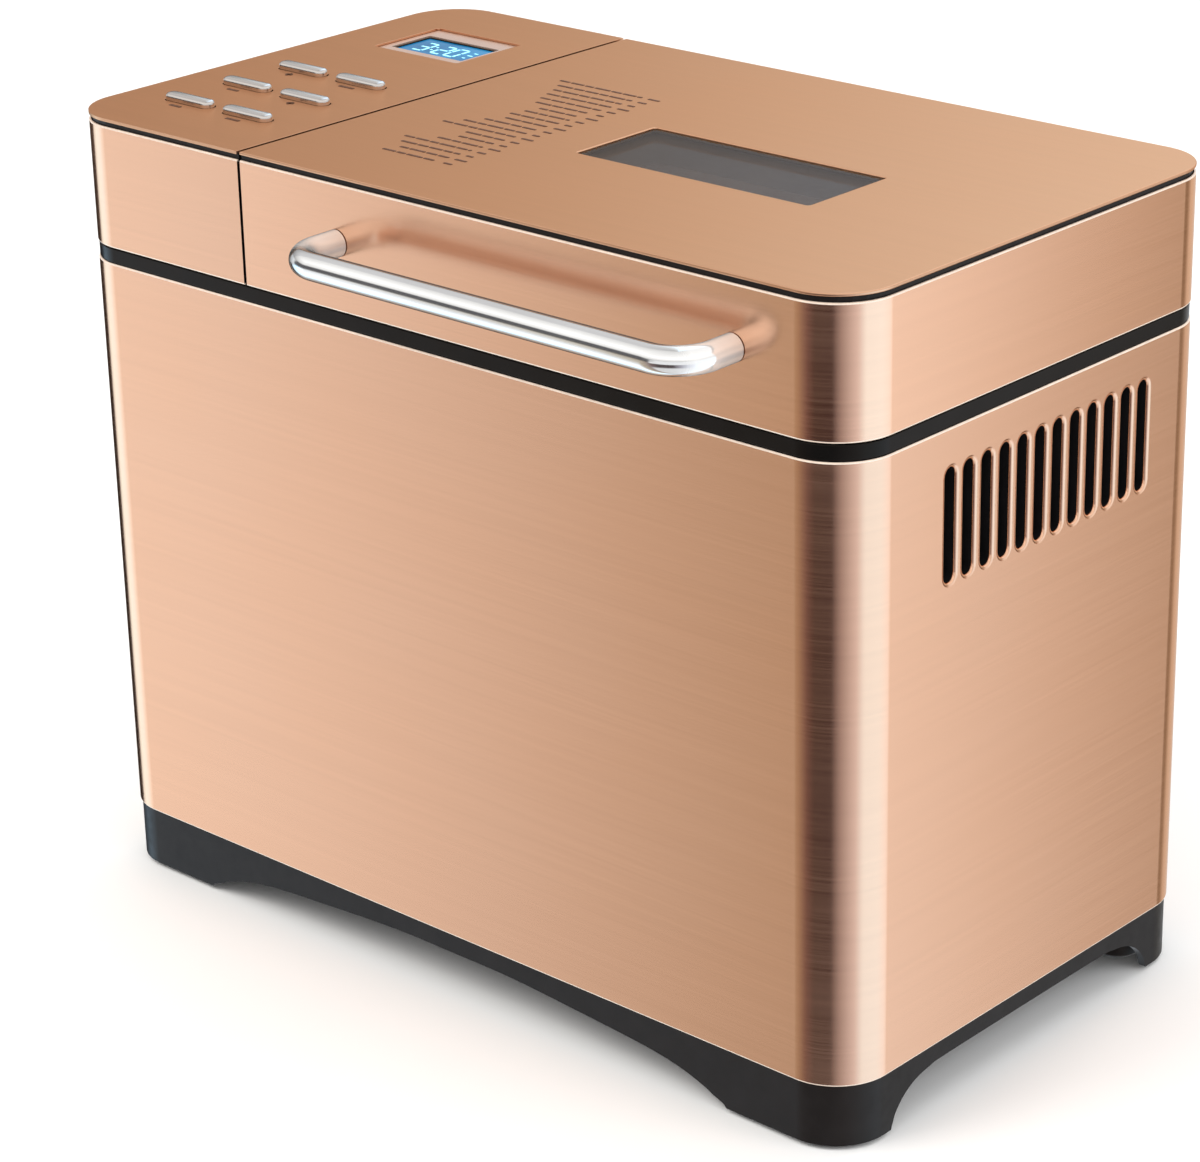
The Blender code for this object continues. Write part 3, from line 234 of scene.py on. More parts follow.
# ---------------------------------------------------------------- materials
class Shade:
    """A material with one Principled shader and short calls for the nodes that feed it."""

    def __init__(self, name):
        self.material = bpy.data.materials.new(name)
        self.material.use_nodes = True
        self.tree = self.material.node_tree
        self.tree.nodes.clear()
        self.out = self.node("ShaderNodeOutputMaterial")
        self.shader = self.node("ShaderNodeBsdfPrincipled")
        self.link(self.shader.outputs[0], self.out.inputs[0])
        self.place = self.node("ShaderNodeTexCoord").outputs["Object"]

    def node(self, kind, **settings):
        made = self.tree.nodes.new(kind)
        for key, value in settings.items():
            setattr(made, key, value)
        return made

    def link(self, a, b):
        self.tree.links.new(a, b)

    def set(self, **values):
        for key, value in values.items():
            socket = self.shader.inputs[key.replace("_", " ")]
            if isinstance(value, bpy.types.NodeSocket):
                self.link(value, socket)
            else:
                socket.default_value = value
        return self

    def scaled(self, scale):
        made = self.node("ShaderNodeMapping")
        self.link(self.place, made.inputs[0])
        made.inputs["Scale"].default_value = scale if isinstance(scale, tuple) else (scale,) * 3
        return made.outputs[0]

    def noise(self, scale, detail, rough=0.55):
        made = self.node("ShaderNodeTexNoise")
        self.link(self.scaled(scale), made.inputs["Vector"])
        made.inputs["Scale"].default_value = 1.0
        made.inputs["Detail"].default_value = detail
        made.inputs["Roughness"].default_value = rough
        return made.outputs["Fac"]

    def cells(self, scale, output="Distance"):
        made = self.node("ShaderNodeTexVoronoi", feature="F1")
        self.link(self.scaled(scale), made.inputs["Vector"])
        made.inputs["Scale"].default_value = 1.0
        return made.outputs[output]

    def span(self, value, low, high, start=0.3, end=0.7):
        made = self.node("ShaderNodeMapRange")
        self.link(value, made.inputs[0])
        for i, number in enumerate((start, end, low, high), start=1):
            made.inputs[i].default_value = number
        return made.outputs[0]

    def blend(self, factor, a, b, mode="MIX"):
        made = self.node("ShaderNodeMix", data_type="RGBA", blend_type=mode)
        for socket, value in ((made.inputs[0], factor), (made.inputs[6], a), (made.inputs[7], b)):
            if isinstance(value, bpy.types.NodeSocket):
                self.link(value, socket)
            elif isinstance(value, tuple):
                socket.default_value = (*value, 1)
            else:
                socket.default_value = value
        return made.outputs[2]

    def bump(self, height, strength, distance=0.0002):
        made = self.node("ShaderNodeBump")
        made.inputs["Strength"].default_value = strength
        made.inputs["Distance"].default_value = distance
        self.link(height, made.inputs["Height"])
        self.link(made.outputs[0], self.shader.inputs["Normal"])


def tone(colour, by):
    return tuple(min(1.0, c * by) for c in colour)


def surface(name, colour, rough, metallic=0.0, vary=(60, 0.06), fine=None, wear=0.05, **more):
    """Moulded, cast or painted: cloudy colour, uneven roughness and, with fine=(scale, strength), a grain."""
    s = Shade(name)
    cloud = s.noise(vary[0], 4)
    s.set(Base_Color=s.blend(s.span(cloud, 0, 1), tone(colour, 1 - vary[1]), tone(colour, 1 + vary[1])))
    s.set(Roughness=s.span(s.noise(vary[0] * 2.3, 3), rough - wear, rough + wear), Metallic=metallic)
    s.set(**more)
    if fine:
        s.bump(s.noise(fine[0], 2), fine[1])
    return s.material


def brushed(name, colour, grain, smear, rough, aniso=0.75, depth=0.03, tint=0.04, edge=(1, 1, 1)):
    """Brushed sheet: streaks run the ways in which grain is small, and light smears across them."""
    s = Shade(name)
    streak = s.noise(grain, 5, 0.65)
    wide = s.noise(tuple(g * 0.23 for g in grain), 3, 0.5)
    cloud = s.noise(7, 2)
    a = s.blend(s.span(streak, 0, 1), tone(colour, 1 - tint), tone(colour, 1 + tint))
    b = s.blend(s.span(wide, 0.0, 1.0), tone(colour, 1 - tint * 0.6), tone(colour, 1 + tint * 0.6))
    c = s.blend(0.5, a, b)
    warm = s.blend(s.span(cloud, 0, 1), (1.0, 0.985, 0.965), (0.985, 1.0, 1.01))
    s.set(Base_Color=s.blend(1.0, c, warm, "MULTIPLY"), Metallic=1.0)
    s.set(Roughness=s.span(streak, rough - 0.025, rough + 0.025), Anisotropic=aniso, Specular_Tint=(*edge, 1))
    turn = s.node(
        "ShaderNodeVectorTransform", vector_type="VECTOR", convert_from="OBJECT", convert_to="WORLD"
    )
    turn.inputs[0].default_value = smear
    s.link(turn.outputs[0], s.shader.inputs["Tangent"])
    s.bump(streak, depth, 0.00008)
    return s.material


ROSE = (0.82, 0.485, 0.325)
EDGE = (0.95, 0.80, 0.68)
SOFT = (1.0, 0.72, 0.55, 1)


def make_materials():
    m = {}
    m["rose_side"] = brushed(
        "rose_side", ROSE, (14, 14, 1900), (0, 0, 1), rough=0.19, aniso=0.65, depth=0.013, edge=EDGE
    )
    m["rose_lid"] = brushed(
        "rose_lid", tone(ROSE, 1.05), (14, 14, 1900), (0, 0, 1), rough=0.165, aniso=0.62, depth=0.009,
        edge=EDGE
    )
    m["rose_top"] = brushed(
        "rose_top", (0.76, 0.42, 0.255), (14, 1900, 14), (0, 1, 0), rough=0.30, edge=(0.85, 0.62, 0.47)
    )
    # painted highlight: a pale cream finish for the sheets' rolled hems, in place of the bright lines light
    # draws there
    m["painted_edge_highlight"] = surface(
        "painted_edge_highlight", (0.93, 0.76, 0.63), 0.46, 0.45, vary=(300, 0.08), fine=(3000, 0.08),
        Specular_IOR_Level=0.4
    )
    m["oven_steel"] = spangled("oven_steel", (0.56, 0.56, 0.55), 0.38, 260)
    m["baked_steel"] = surface(
        "baked_steel", (0.022, 0.021, 0.021), 0.72, 0.3, vary=(70, 0.25), fine=(900, 0.2),
        Specular_IOR_Level=0.12
    )
    m["zinc_steel"] = spangled("zinc_steel", (0.60, 0.61, 0.60), 0.33, 500)
    m["black_plastic"] = surface(
        "black_plastic", (0.010, 0.010, 0.011), 0.40, vary=(90, 0.18), fine=(2600, 0.10), wear=0.06,
        Specular_IOR_Level=0.20, Specular_Tint=SOFT
    )
    m["band_plastic"] = surface(
        "band_plastic", (0.005, 0.005, 0.005), 0.22, vary=(40, 0.2), fine=(900, 0.02),
        Specular_IOR_Level=0.14, Specular_Tint=SOFT
    )
    m["rubber"] = surface("rubber", (0.018, 0.018, 0.018), 0.85, vary=(200, 0.2), fine=(3000, 0.25))
    m["silicone"] = surface("silicone", (0.24, 0.235, 0.225), 0.62, vary=(120, 0.08), fine=(1500, 0.08))
    m["white_plastic"] = surface(
        "white_plastic", (0.78, 0.77, 0.72), 0.45, vary=(80, 0.04), fine=(2500, 0.05)
    )
    m["chrome"] = plated("chrome", 0.9)
    # painted highlight: the handle's legs are made less metallic so they look pale instead of reflecting the
    # copper lid
    m["handle_chrome"] = plated("handle_chrome", handle_painted_highlight)
    m["silver_plastic"] = brushed(
        "silver_plastic", (0.62, 0.575, 0.54), (60, 2400, 60), (0, 1, 0), rough=0.22, aniso=0.3, tint=0.05
    )
    m["heater"] = heat_tinted()
    m["nonstick"] = speckled()
    m["brass"] = surface("brass", (0.72, 0.52, 0.24), 0.36, 1.0, vary=(700, 0.12), fine=(2600, 0.12))
    m["glass"] = glass_pane()
    m["circuit_board"] = laminate()
    m["display_blue"] = lit_display()
    m["display_bezel"] = surface(
        "display_bezel", (0.60, 0.39, 0.29), 0.34, 0.55, vary=(40, 0.05), fine=(1800, 0.03)
    )
    m["print"] = surface(
        "print", (0.125, 0.058, 0.034), 0.5, vary=(500, 0.15), Specular_IOR_Level=0.12, Specular_Tint=SOFT
    )
    m["digits"] = glow("digits", (0.36, 0.80, 0.95), 0.85)
    return m


def plated(name, shine):
    """Bright plating whose reflection dims at glancing angles; shine is 0 to 1, or makes a node's output."""
    s = Shade(name)
    s.set(Base_Color=s.blend(s.span(s.noise(30, 4), 0, 1), (0.82, 0.81, 0.795), (0.88, 0.87, 0.855)))
    s.set(Metallic=shine(s) if callable(shine) else shine, Specular_Tint=(0.05, 0.05, 0.06, 1))
    s.set(Roughness=s.span(s.noise(70, 3), 0.06, 0.10))
    s.bump(s.noise(220, 2), 0.004)
    return s.material


def handle_painted_highlight(s):
    """Metallic falls from the bar in front to the legs behind: a painted highlight that keeps the legs pale.
    """
    y = s.node("ShaderNodeSeparateXYZ")
    s.link(s.place, y.inputs[0])
    front = HANDLE_BOX[0][1]
    return s.span(y.outputs["Y"], 0.94, 0.50, front + 0.0055, front + 0.0090)


def spangled(name, colour, rough, scale):
    """Coated sheet steel: crystals of slightly different brightness and gloss."""
    s = Shade(name)
    crystal = s.cells(scale, output="Color")
    grey = s.node("ShaderNodeRGBToBW")
    s.link(crystal, grey.inputs[0])
    s.set(Base_Color=s.blend(grey.outputs[0], tone(colour, 0.86), tone(colour, 1.1)), Metallic=1.0)
    s.set(Roughness=s.span(grey.outputs[0], rough - 0.08, rough + 0.08, 0.2, 0.8))
    s.bump(s.noise(scale * 4, 3), 0.06)
    return s.material


def speckled():
    """Non-stick coat: near black with fine pale specks and a soft orange-peel."""
    s = Shade("nonstick")
    speck = s.span(s.cells(1500), 1.0, 0.0, 0.06, 0.16)
    cloud = s.blend(s.span(s.noise(45, 4), 0, 1), (0.030, 0.030, 0.033), (0.052, 0.051, 0.053))
    s.set(Base_Color=s.blend(speck, cloud, (0.30, 0.29, 0.28)), Metallic=0.1)
    s.set(Roughness=s.span(s.noise(260, 3), 0.34, 0.48))
    s.bump(s.noise(900, 3), 0.10)
    return s.material


def heat_tinted():
    """An oxidised heater sheath: dark grey, straw and blue where it runs hottest."""
    s = Shade("heater")
    a = s.blend(s.span(s.noise(28, 3), 0, 1), (0.20, 0.19, 0.18), (0.30, 0.25, 0.17))
    b = s.blend(s.span(s.noise(17, 2), 0, 1, 0.5, 0.75), a, (0.12, 0.14, 0.21))
    s.set(Base_Color=b, Metallic=0.85, Roughness=s.span(s.noise(300, 3), 0.36, 0.56))
    s.bump(s.noise(1300, 3), 0.12)
    return s.material


def glass_pane():
    """Tempered pane: a faint bronze body with wiped smears in its gloss."""
    s = Shade("glass")
    s.set(Base_Color=s.blend(s.span(s.noise(18, 3), 0, 1), (0.13, 0.085, 0.055), (0.18, 0.12, 0.08)))
    s.set(Roughness=s.span(s.noise((60, 14, 30), 4), 0.03, 0.11), Alpha=0.24)
    s.set(Specular_IOR_Level=0.36, Specular_Tint=SOFT)
    return s.material


def laminate():
    """Circuit board: green mask over copper runs."""
    s = Shade("circuit_board")
    grid = s.node("ShaderNodeTexBrick")
    s.link(s.scaled((160, 160, 160)), grid.inputs["Vector"])
    grid.inputs["Color1"].default_value = (0.012, 0.10, 0.045, 1)
    grid.inputs["Color2"].default_value = (0.016, 0.13, 0.06, 1)
    grid.inputs["Mortar"].default_value = (0.05, 0.20, 0.09, 1)
    grid.inputs["Mortar Size"].default_value = 0.06
    grid.inputs["Scale"].default_value = 1.0
    s.set(Base_Color=s.blend(s.span(s.noise(60, 3), 0, 0.5), grid.outputs["Color"], (0.02, 0.16, 0.07)))
    s.set(Roughness=s.span(s.noise(300, 2), 0.3, 0.45))
    s.bump(grid.outputs["Fac"], 0.2, 0.00005)
    return s.material


def lit_display():
    """A backlit blue panel: brighter towards its lamp, with the dot pitch just visible."""
    s = Shade("display_blue")
    cloud = s.span(s.noise(60, 2), 0, 1)
    glow_colour = s.blend(cloud, (0.004, 0.085, 0.21), (0.012, 0.17, 0.36))
    dots = s.span(s.cells((2600, 2600, 1)), 0.9, 1.06, 0.1, 0.6)
    lit = s.blend(1.0, glow_colour, s.blend(dots, (0.0, 0.0, 0.0), (1.0, 1.0, 1.0)), "MULTIPLY")
    s.set(Base_Color=lit, Emission_Color=lit, Emission_Strength=0.42)
    s.set(Roughness=s.span(s.noise(90, 2), 0.10, 0.18), Specular_IOR_Level=0.10)
    return s.material


def glow(name, colour, strength):
    s = Shade(name)
    shade = s.blend(s.span(s.noise(400, 2), 0, 1), tone(colour, 0.88), colour)
    s.set(Base_Color=shade, Emission_Color=shade, Emission_Strength=strength, Roughness=0.4)
    return s.material


# ---------------------------------------------------------------- mesh helpers
def rounded(x0, x1, y0, y1, radii, steps=20):
    """A rectangle's outline with a radius for each corner, or one for all."""
    corners = ((x0, y0, 180), (x1, y0, 270), (x1, y1, 0), (x0, y1, 90))
    outline = []
    for (x, y, start), r in zip(corners, radii if isinstance(radii, tuple) else (radii,) * 4):
        if r <= 0:
            outline.append((x, y))
            continue
        cx = x + r if x == x0 else x - r
        cy = y + r if y == y0 else y - r
        for i in range(steps + 1):
            a = math.radians(start + 90 * i / steps)
            outline.append((cx + r * math.cos(a), cy + r * math.sin(a)))
    return outline


def about(centre, half, r, steps=14):
    (cx, cy), (hx, hy) = centre, half
    return rounded(cx - hx, cx + hx, cy - hy, cy + hy, r, steps)


def body_outline(inset):
    return rounded(X0 + inset, X1 - inset, Y0 + inset, Y1 - inset, CORNER_R - inset)


def lid_outline(inset):
    r = CORNER_R - inset
    return rounded(X_LID, X1 - inset, Y0 + inset, Y1 - inset, (0, r, r, 0))


def panel_outline(inset):
    r = CORNER_R - inset
    return rounded(X0 + inset, X_PANEL, Y0 + inset, Y1 - inset, (r, 0, 0, r))


def pill(centre, length, width):
    x, y = centre
    r = width / 2
    return rounded(x - length / 2, x + length / 2, y - r, y + r, r * 0.999, 12)


def middle(node):
    return [(a + b) / 2 for a, b in zip(*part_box(node))]


def to_object(name, bm, material, body, replaces=(), angle=38):
    """A piece: it rides on a body, takes its finish from a slot and stands for the nodes it replaces."""
    obj = plain_object(name, bm)
    obj.data.shade_smooth()
    if angle:
        obj.data.set_sharp_from_angle(angle=math.radians(angle))
    obj.data.materials.append(M[material])
    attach(obj, body)
    if replaces:
        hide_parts(*replaces)
    return obj


def plain_object(name, bm):
    mesh = bpy.data.meshes.new(name)
    bm.to_mesh(mesh)
    bm.free()
    obj = bpy.data.objects.new(name, mesh)
    bpy.context.scene.collection.objects.link(obj)
    return obj


def skin(bm, rings, closed=False):
    """Adds to bm the surface through rings of points: capped at both ends, or closed round like a tyre."""
    loops = [[bm.verts.new(p) for p in ring] for ring in rings]
    for low, high in zip(loops, loops[1:] + loops[:1] if closed else loops[1:]):
        for i in range(len(low)):
            j = (i + 1) % len(low)
            bm.faces.new((low[i], low[j], high[j], high[i]))
    if not closed:
        bm.faces.new(list(reversed(loops[0])))
        bm.faces.new(loops[-1])
    bmesh.ops.recalc_face_normals(bm, faces=bm.faces)
    return bm


def slab_mesh(near, far):
    """A flat solid between two like rings of points."""
    bm = bmesh.new()
    near, far = ([bm.verts.new(p) for p in ring] for ring in (near, far))
    bm.faces.new(near)
    bm.faces.new(list(reversed(far)))
    for i in range(len(near)):
        j = (i + 1) % len(near)
        bm.faces.new((near[i], far[i], far[j], near[j]))
    bmesh.ops.recalc_face_normals(bm, faces=bm.faces)
    return bm


def loft_mesh(rings, closed=False):
    """A surface through (outline, height) rings of one count of points."""
    return skin(bmesh.new(), [[(x, y, z) for x, y in outline] for outline, z in rings], closed)


def prism_mesh(outline, z0, z1):
    return loft_mesh([(outline, z0), (outline, z1)])


def block(bm, centre, size):
    bmesh.ops.create_cube(bm, size=1.0, matrix=Matrix.Translation(centre) @ Matrix.Diagonal((*size, 1)))


def quarter_turn(axis, sign=1):
    return Matrix.Rotation(math.radians(90 * sign), 4, axis)


def drill(bm, radius, place, turn=None, sides=24):
    """Adds a cylinder 10 mm long, upright or turned about an axis, to cut a round hole with."""
    matrix = Matrix.Translation(place)
    if turn:
        matrix = matrix @ quarter_turn(turn)
    bmesh.ops.create_cone(
        bm, cap_ends=True, segments=sides, radius1=radius, radius2=radius, depth=0.01, matrix=matrix
    )


def stamp(bm, part, matrix):
    """Adds a part's mesh to bm, moved by matrix."""
    part.transform(matrix)
    mesh = bpy.data.meshes.new("stamp")
    part.to_mesh(mesh)
    part.free()
    bm.from_mesh(mesh)
    bpy.data.meshes.remove(mesh)


def finish_shape(obj, cutters=(), bevel=0.0, segments=3, angle=50):
    """Cuts, rounds its edges and steadies its shading, all applied to the mesh."""
    cutters = [plain_object("cutter", bm) for bm in cutters]
    for other in cutters:
        boolean = obj.modifiers.new("cut", "BOOLEAN")
        boolean.operation = "DIFFERENCE"
        boolean.solver = "EXACT"
        boolean.object = other
    if bevel:
        edge = obj.modifiers.new("edge", "BEVEL")
        edge.width = bevel
        edge.segments = segments
        edge.limit_method = "ANGLE"
        edge.angle_limit = math.radians(angle)
        edge.harden_normals = False
    steady = obj.modifiers.new("steady", "WEIGHTED_NORMAL")
    steady.keep_sharp = False
    steady.weight = 90
    bpy.context.view_layer.update()
    evaluated = obj.evaluated_get(bpy.context.evaluated_depsgraph_get())
    mesh = bpy.data.meshes.new_from_object(evaluated)
    old = obj.data
    obj.modifiers.clear()
    obj.data = mesh
    bpy.data.meshes.remove(old)
    for other in cutters:
        bpy.data.objects.remove(other)


HEM = 0.0006


def hemmed(loop, low, high):
    """Rings for a sheet whose outer face rolls in at both edges; loop(inset) gives the outline."""
    turn = [math.pi / 2 * t / 4 for t in range(5)]
    foot = [(loop(0.8 * HEM * (1 - math.sin(a))), low + HEM * (1 - math.cos(a))) for a in turn]
    head = [(loop(0.8 * HEM * (1 - math.cos(a))), high - HEM * (1 - math.sin(a))) for a in turn]
    return foot + head


def paint_hem_highlights(obj, low, high):
    """The rolled edges of a sheet take a paler, cream finish than its brushed face: a painted highlight."""
    obj.data.materials.append(M["painted_edge_highlight"])
    for face in obj.data.polygons:
        if not low + HEM * 0.98 < face.center.z < high - HEM * 0.98:
            face.material_index = 1


def swept(points, radius, sides):
    """A round bar along points, its section carried without twist."""
    points = [Vector(p) for p in points]
    rings = []
    normal = None
    for i, p in enumerate(points):
        before, after = points[max(i - 1, 0)], points[min(i + 1, len(points) - 1)]
        along = (after - before).normalized()
        if normal is None:
            normal = along.orthogonal().normalized()
        normal = (normal - along * normal.dot(along)).normalized()
        other = along.cross(normal)
        turns = (2 * math.pi * k / sides for k in range(sides))
        rings.append([p + (normal * math.cos(a) + other * math.sin(a)) * radius for a in turns])
    return skin(bmesh.new(), rings)


def bend(corner, before, after, r, steps):
    """Points round a corner between two directions."""
    corner, before, after = Vector(corner), Vector(before), Vector(after)
    centre = corner + (after - before) * r
    return [
        centre + (before * math.sin(a) - after * math.cos(a)) * r
        for a in (math.pi / 2 * i / steps for i in range(steps + 1))
    ]


def lathe(profile, centre=(0, 0), steps=20):
    """A turned solid from (radius, height) points, about an upright line."""
    turns = [2 * math.pi * k / steps for k in range(steps)]
    x, y = centre
    rings = [[(x + r * math.cos(a), y + r * math.sin(a), z) for a in turns] for r, z in profile]
    return skin(bmesh.new(), rings)


# ---------------------------------------------------------------- housing
VENT_COUNT, VENT_PITCH, VENT_WIDTH, VENT_LIP = 12, 0.0099, 0.0058, 0.0012
VENT_Y, VENT_LOW, VENT_HIGH = Y0 + 0.0535, 0.1955, 0.2358


def vent_mesh(profile, face, closed=False, steps=10):
    """All the upright, round-ended slots, each through (growth, depth) rings behind a face."""
    arc = [math.pi * i / steps for i in range(steps + 1)]
    bm = bmesh.new()
    for i in range(VENT_COUNT):
        y = VENT_Y + VENT_PITCH * i
        rings = []
        for grow, depth in profile:
            x, r = face - depth, VENT_WIDTH / 2 + grow
            low, high = VENT_LOW - grow + r, VENT_HIGH + grow - r
            top = [(x, y + r * math.cos(a), high + r * math.sin(a)) for a in arc]
            rings.append(top + [(x, y - r * math.cos(a), low - r * math.sin(a)) for a in arc])
        skin(bm, rings, closed)
    return bm


def make_wrap():
    rings = hemmed(body_outline, Z_WRAP, Z_WRAP_TOP)
    rings += [(body_outline(SKIN), Z_WRAP_TOP), (body_outline(SKIN), Z_WRAP)]
    mesh = loft_mesh(rings, closed=True)
    wrap = to_object("housing_sheet", mesh, "rose_side", "housing", ["body_wrap"])
    bush_x, _, bush_z = middle("cord_bush")
    hole = bmesh.new()
    drill(hole, 0.009, (bush_x, Y1, bush_z), "X", 40)
    finish_shape(wrap, [vent_mesh([(VENT_LIP, 0.004), (VENT_LIP, -0.004)], X1), hole], bevel=0.00025)
    paint_hem_highlights(wrap, Z_WRAP, Z_WRAP_TOP)

    edge = VENT_LIP - 0.00005
    roll = [(edge, 0.0)]
    for a in (0.25, 0.55, 0.9, 1.25, 1.5708):
        roll.append((VENT_LIP * (1 - math.sin(a)), VENT_LIP * (1 - math.cos(a))))
    roll += [(0.0, VENT_LIP), (0.0003, VENT_LIP), (edge, 0.0009)]
    sleeve = [(0.0004, 0.00125), (0.0, 0.00125), (0.0, 0.0070), (0.0009, 0.0070), (0.0009, 0.00125)]
    face = X1 - 0.00002
    lips, sleeves = vent_mesh(roll, face, True), vent_mesh(sleeve, face, True)
    to_object("vent_lips", lips, "rose_side", "housing", angle=60)
    to_object("vent_sleeves", sleeves, "black_plastic", "housing", angle=60)


def make_back_seam():
    """The wrap's two ends meet behind in a flat lap, held by three screws."""
    x, width, proud = X0 + 0.110, 0.0140, 0.0004
    face, centre = Y1 + proud, x + width / 2
    strip = [(x, Y1 - 0.0002), (x + width, Y1 - 0.0002), (x + width, face), (x, face)]
    mesh = prism_mesh(strip, Z_WRAP + 0.0004, Z_WRAP_TOP - 0.0004)
    finish_shape(to_object("back_lap", mesh, "rose_side", "housing"), bevel=0.00015, segments=2)

    profile = [(0.0001, 0.0), (0.0034, 0.0), (0.0034, 0.0006)]
    profile += [(0.0028, 0.0013), (0.0016, 0.0017), (0.0001, 0.0018)]
    heads, *crosses = [bmesh.new() for _ in range(3)]
    for z in (0.046, 0.1375, 0.229):
        place = Matrix.Translation((centre, face - 0.0001, z)) @ quarter_turn("X", -1)
        stamp(heads, lathe(profile, steps=28), place)
        for cross, (wide, tall) in zip(crosses, ((0.0034, 0.0007), (0.0007, 0.0034))):
            block(cross, (centre, face + 0.0016, z), (wide, 0.0016, tall))
    finish_shape(to_object("back_screws", heads, "zinc_steel", "housing", angle=50), crosses)


def make_band():
    """The deck: a black band round the outside, and a raised collar round the oven's mouth."""
    mouth = about(OVEN, (0.114, 0.081), 0.019, 20)
    collar = about(OVEN, (0.1165, 0.0835), 0.0215, 20)
    lip = SKIN + GAP
    rings = [
        (body_outline(0.0004), Z_BAND),
        (body_outline(0.0004), Z_TIER),
        (collar, Z_TIER),
        (collar, Z_DECK_TOP),
        (mouth, Z_DECK_TOP),
        (mouth, Z_BAND),
        (body_outline(lip + 0.002), Z_BAND),
        (body_outline(lip + 0.002), Z_DECK_LOW),
        (body_outline(lip), Z_DECK_LOW),
        (body_outline(lip), Z_BAND),
    ]
    mesh = loft_mesh(rings, closed=True)
    band = to_object("deck_band", mesh, "band_plastic", "housing", ["deck"])
    x = (X0 + X_PANEL) / 2
    wiring = rounded(x - 0.020, x + 0.020, Y_MID - 0.035, Y_MID + 0.035, 0.004, 6)
    finish_shape(band, [prism_mesh(wiring, Z_BAND - 0.004, Z_TIER + 0.004)], bevel=0.0005)


# Half of each arch between two feet, from its springing to its crown.
LONG_ARCH = [
    (0.1320, 0.0010), (0.1305, 0.0028), (0.1260, 0.0046), (0.1210, 0.0068), (0.1105, 0.0100),
    (0.0950, 0.0125), (0.0670, 0.0147), (0.0300, 0.0170), (0.0, 0.0172),
]
SIDE_ARCH = [
    (0.0765, 0.0010), (0.0755, 0.0038), (0.0735, 0.0078), (0.0690, 0.0122), (0.0630, 0.0155),
    (0.0550, 0.0172), (0.0460, 0.0179), (0.0, 0.0180),
]


def eased(points, steps=5):
    """A smooth line through points."""
    line = []
    for i in range(len(points) - 1):
        p = [Vector(points[max(min(k, len(points) - 1), 0)]) for k in (i - 1, i, i + 1, i + 2)]
        for n in range(steps):
            t = n / steps
            a, b, c = 2 * p[1], p[2] - p[0], 2 * p[0] - 5 * p[1] + 4 * p[2] - p[3]
            d = -p[0] + 3 * p[1] - 3 * p[2] + p[3]
            line.append(tuple((a + b * t + c * t * t + d * t ** 3) / 2))
    return line + [tuple(points[-1])]


def arch_mesh(profile, on_side, face):
    """The space between two feet, cut through one side of the skirt."""
    half = eased(profile)
    end = half[0][0]
    points = [(-end, -0.01), (end, -0.01)] + half + [(-a, z) for a, z in reversed(half[:-1])]
    depths = (face - 0.0045, face + 0.0045)
    return slab_mesh(*([(d, Y_MID + a, z) if on_side else (a, d, z) for a, z in points] for d in depths))


def make_base():
    """The tray: a skirt with an arch in each side, a step under the wrap, and slots and pads below."""
    wall, sill, rise = 0.0038, 0.0008, SKIN + GAP
    floor, foot = 0.0170, 0.0015
    rings = [
        (body_outline(wall), floor),
        (body_outline(wall), foot),
        (body_outline(sill), foot),
        (body_outline(sill), Z_WRAP - GAP),
        (body_outline(rise), Z_WRAP - GAP),
        (body_outline(rise), Z_WRAP + 0.008),
        (body_outline(rise + 0.002), Z_WRAP + 0.008),
        (body_outline(rise + 0.002), floor + 0.0025),
    ]
    mesh = loft_mesh(rings)
    base = to_object("base_moulding", mesh, "black_plastic", "housing", ["base_tray"])
    cuts = [arch_mesh(LONG_ARCH, False, y) for y in (Y0, Y1)]
    cuts += [arch_mesh(SIDE_ARCH, True, x) for x in (X0, X1)]
    slots = bmesh.new()
    for i in range(7):
        block(slots, (OVEN[0] + (i - 3) * 0.014, Y1 - 0.0425, 0.016), (0.005, 0.035, 0.012))
    finish_shape(base, cuts + [slots], bevel=0.0009, angle=40)

    socket = [(0.0080, 0.0180), (0.0080, 0.0020), (0.0084, 0.0015), (0.0095, 0.0015), (0.0100, 0.0021)]
    socket.append((0.0100, 0.0180))
    pad = [(0.0071, 0.0046), (0.0075, 0.0042), (0.0075, 0.0006), (0.0069, 0.0)]
    pad += [(0.0048, 0.0), (0.0044, 0.0004), (0.0001, 0.0004)]
    for i in range(1, 5):
        centre = middle(f"foot_pad_{i}")[:2]
        to_object(f"pad_socket_{i}", lathe(socket, centre, 40), "black_plastic", "housing")
        to_object(f"rubber_pad_{i}", lathe(pad, centre, 40), "rubber", "housing", [f"foot_pad_{i}"])


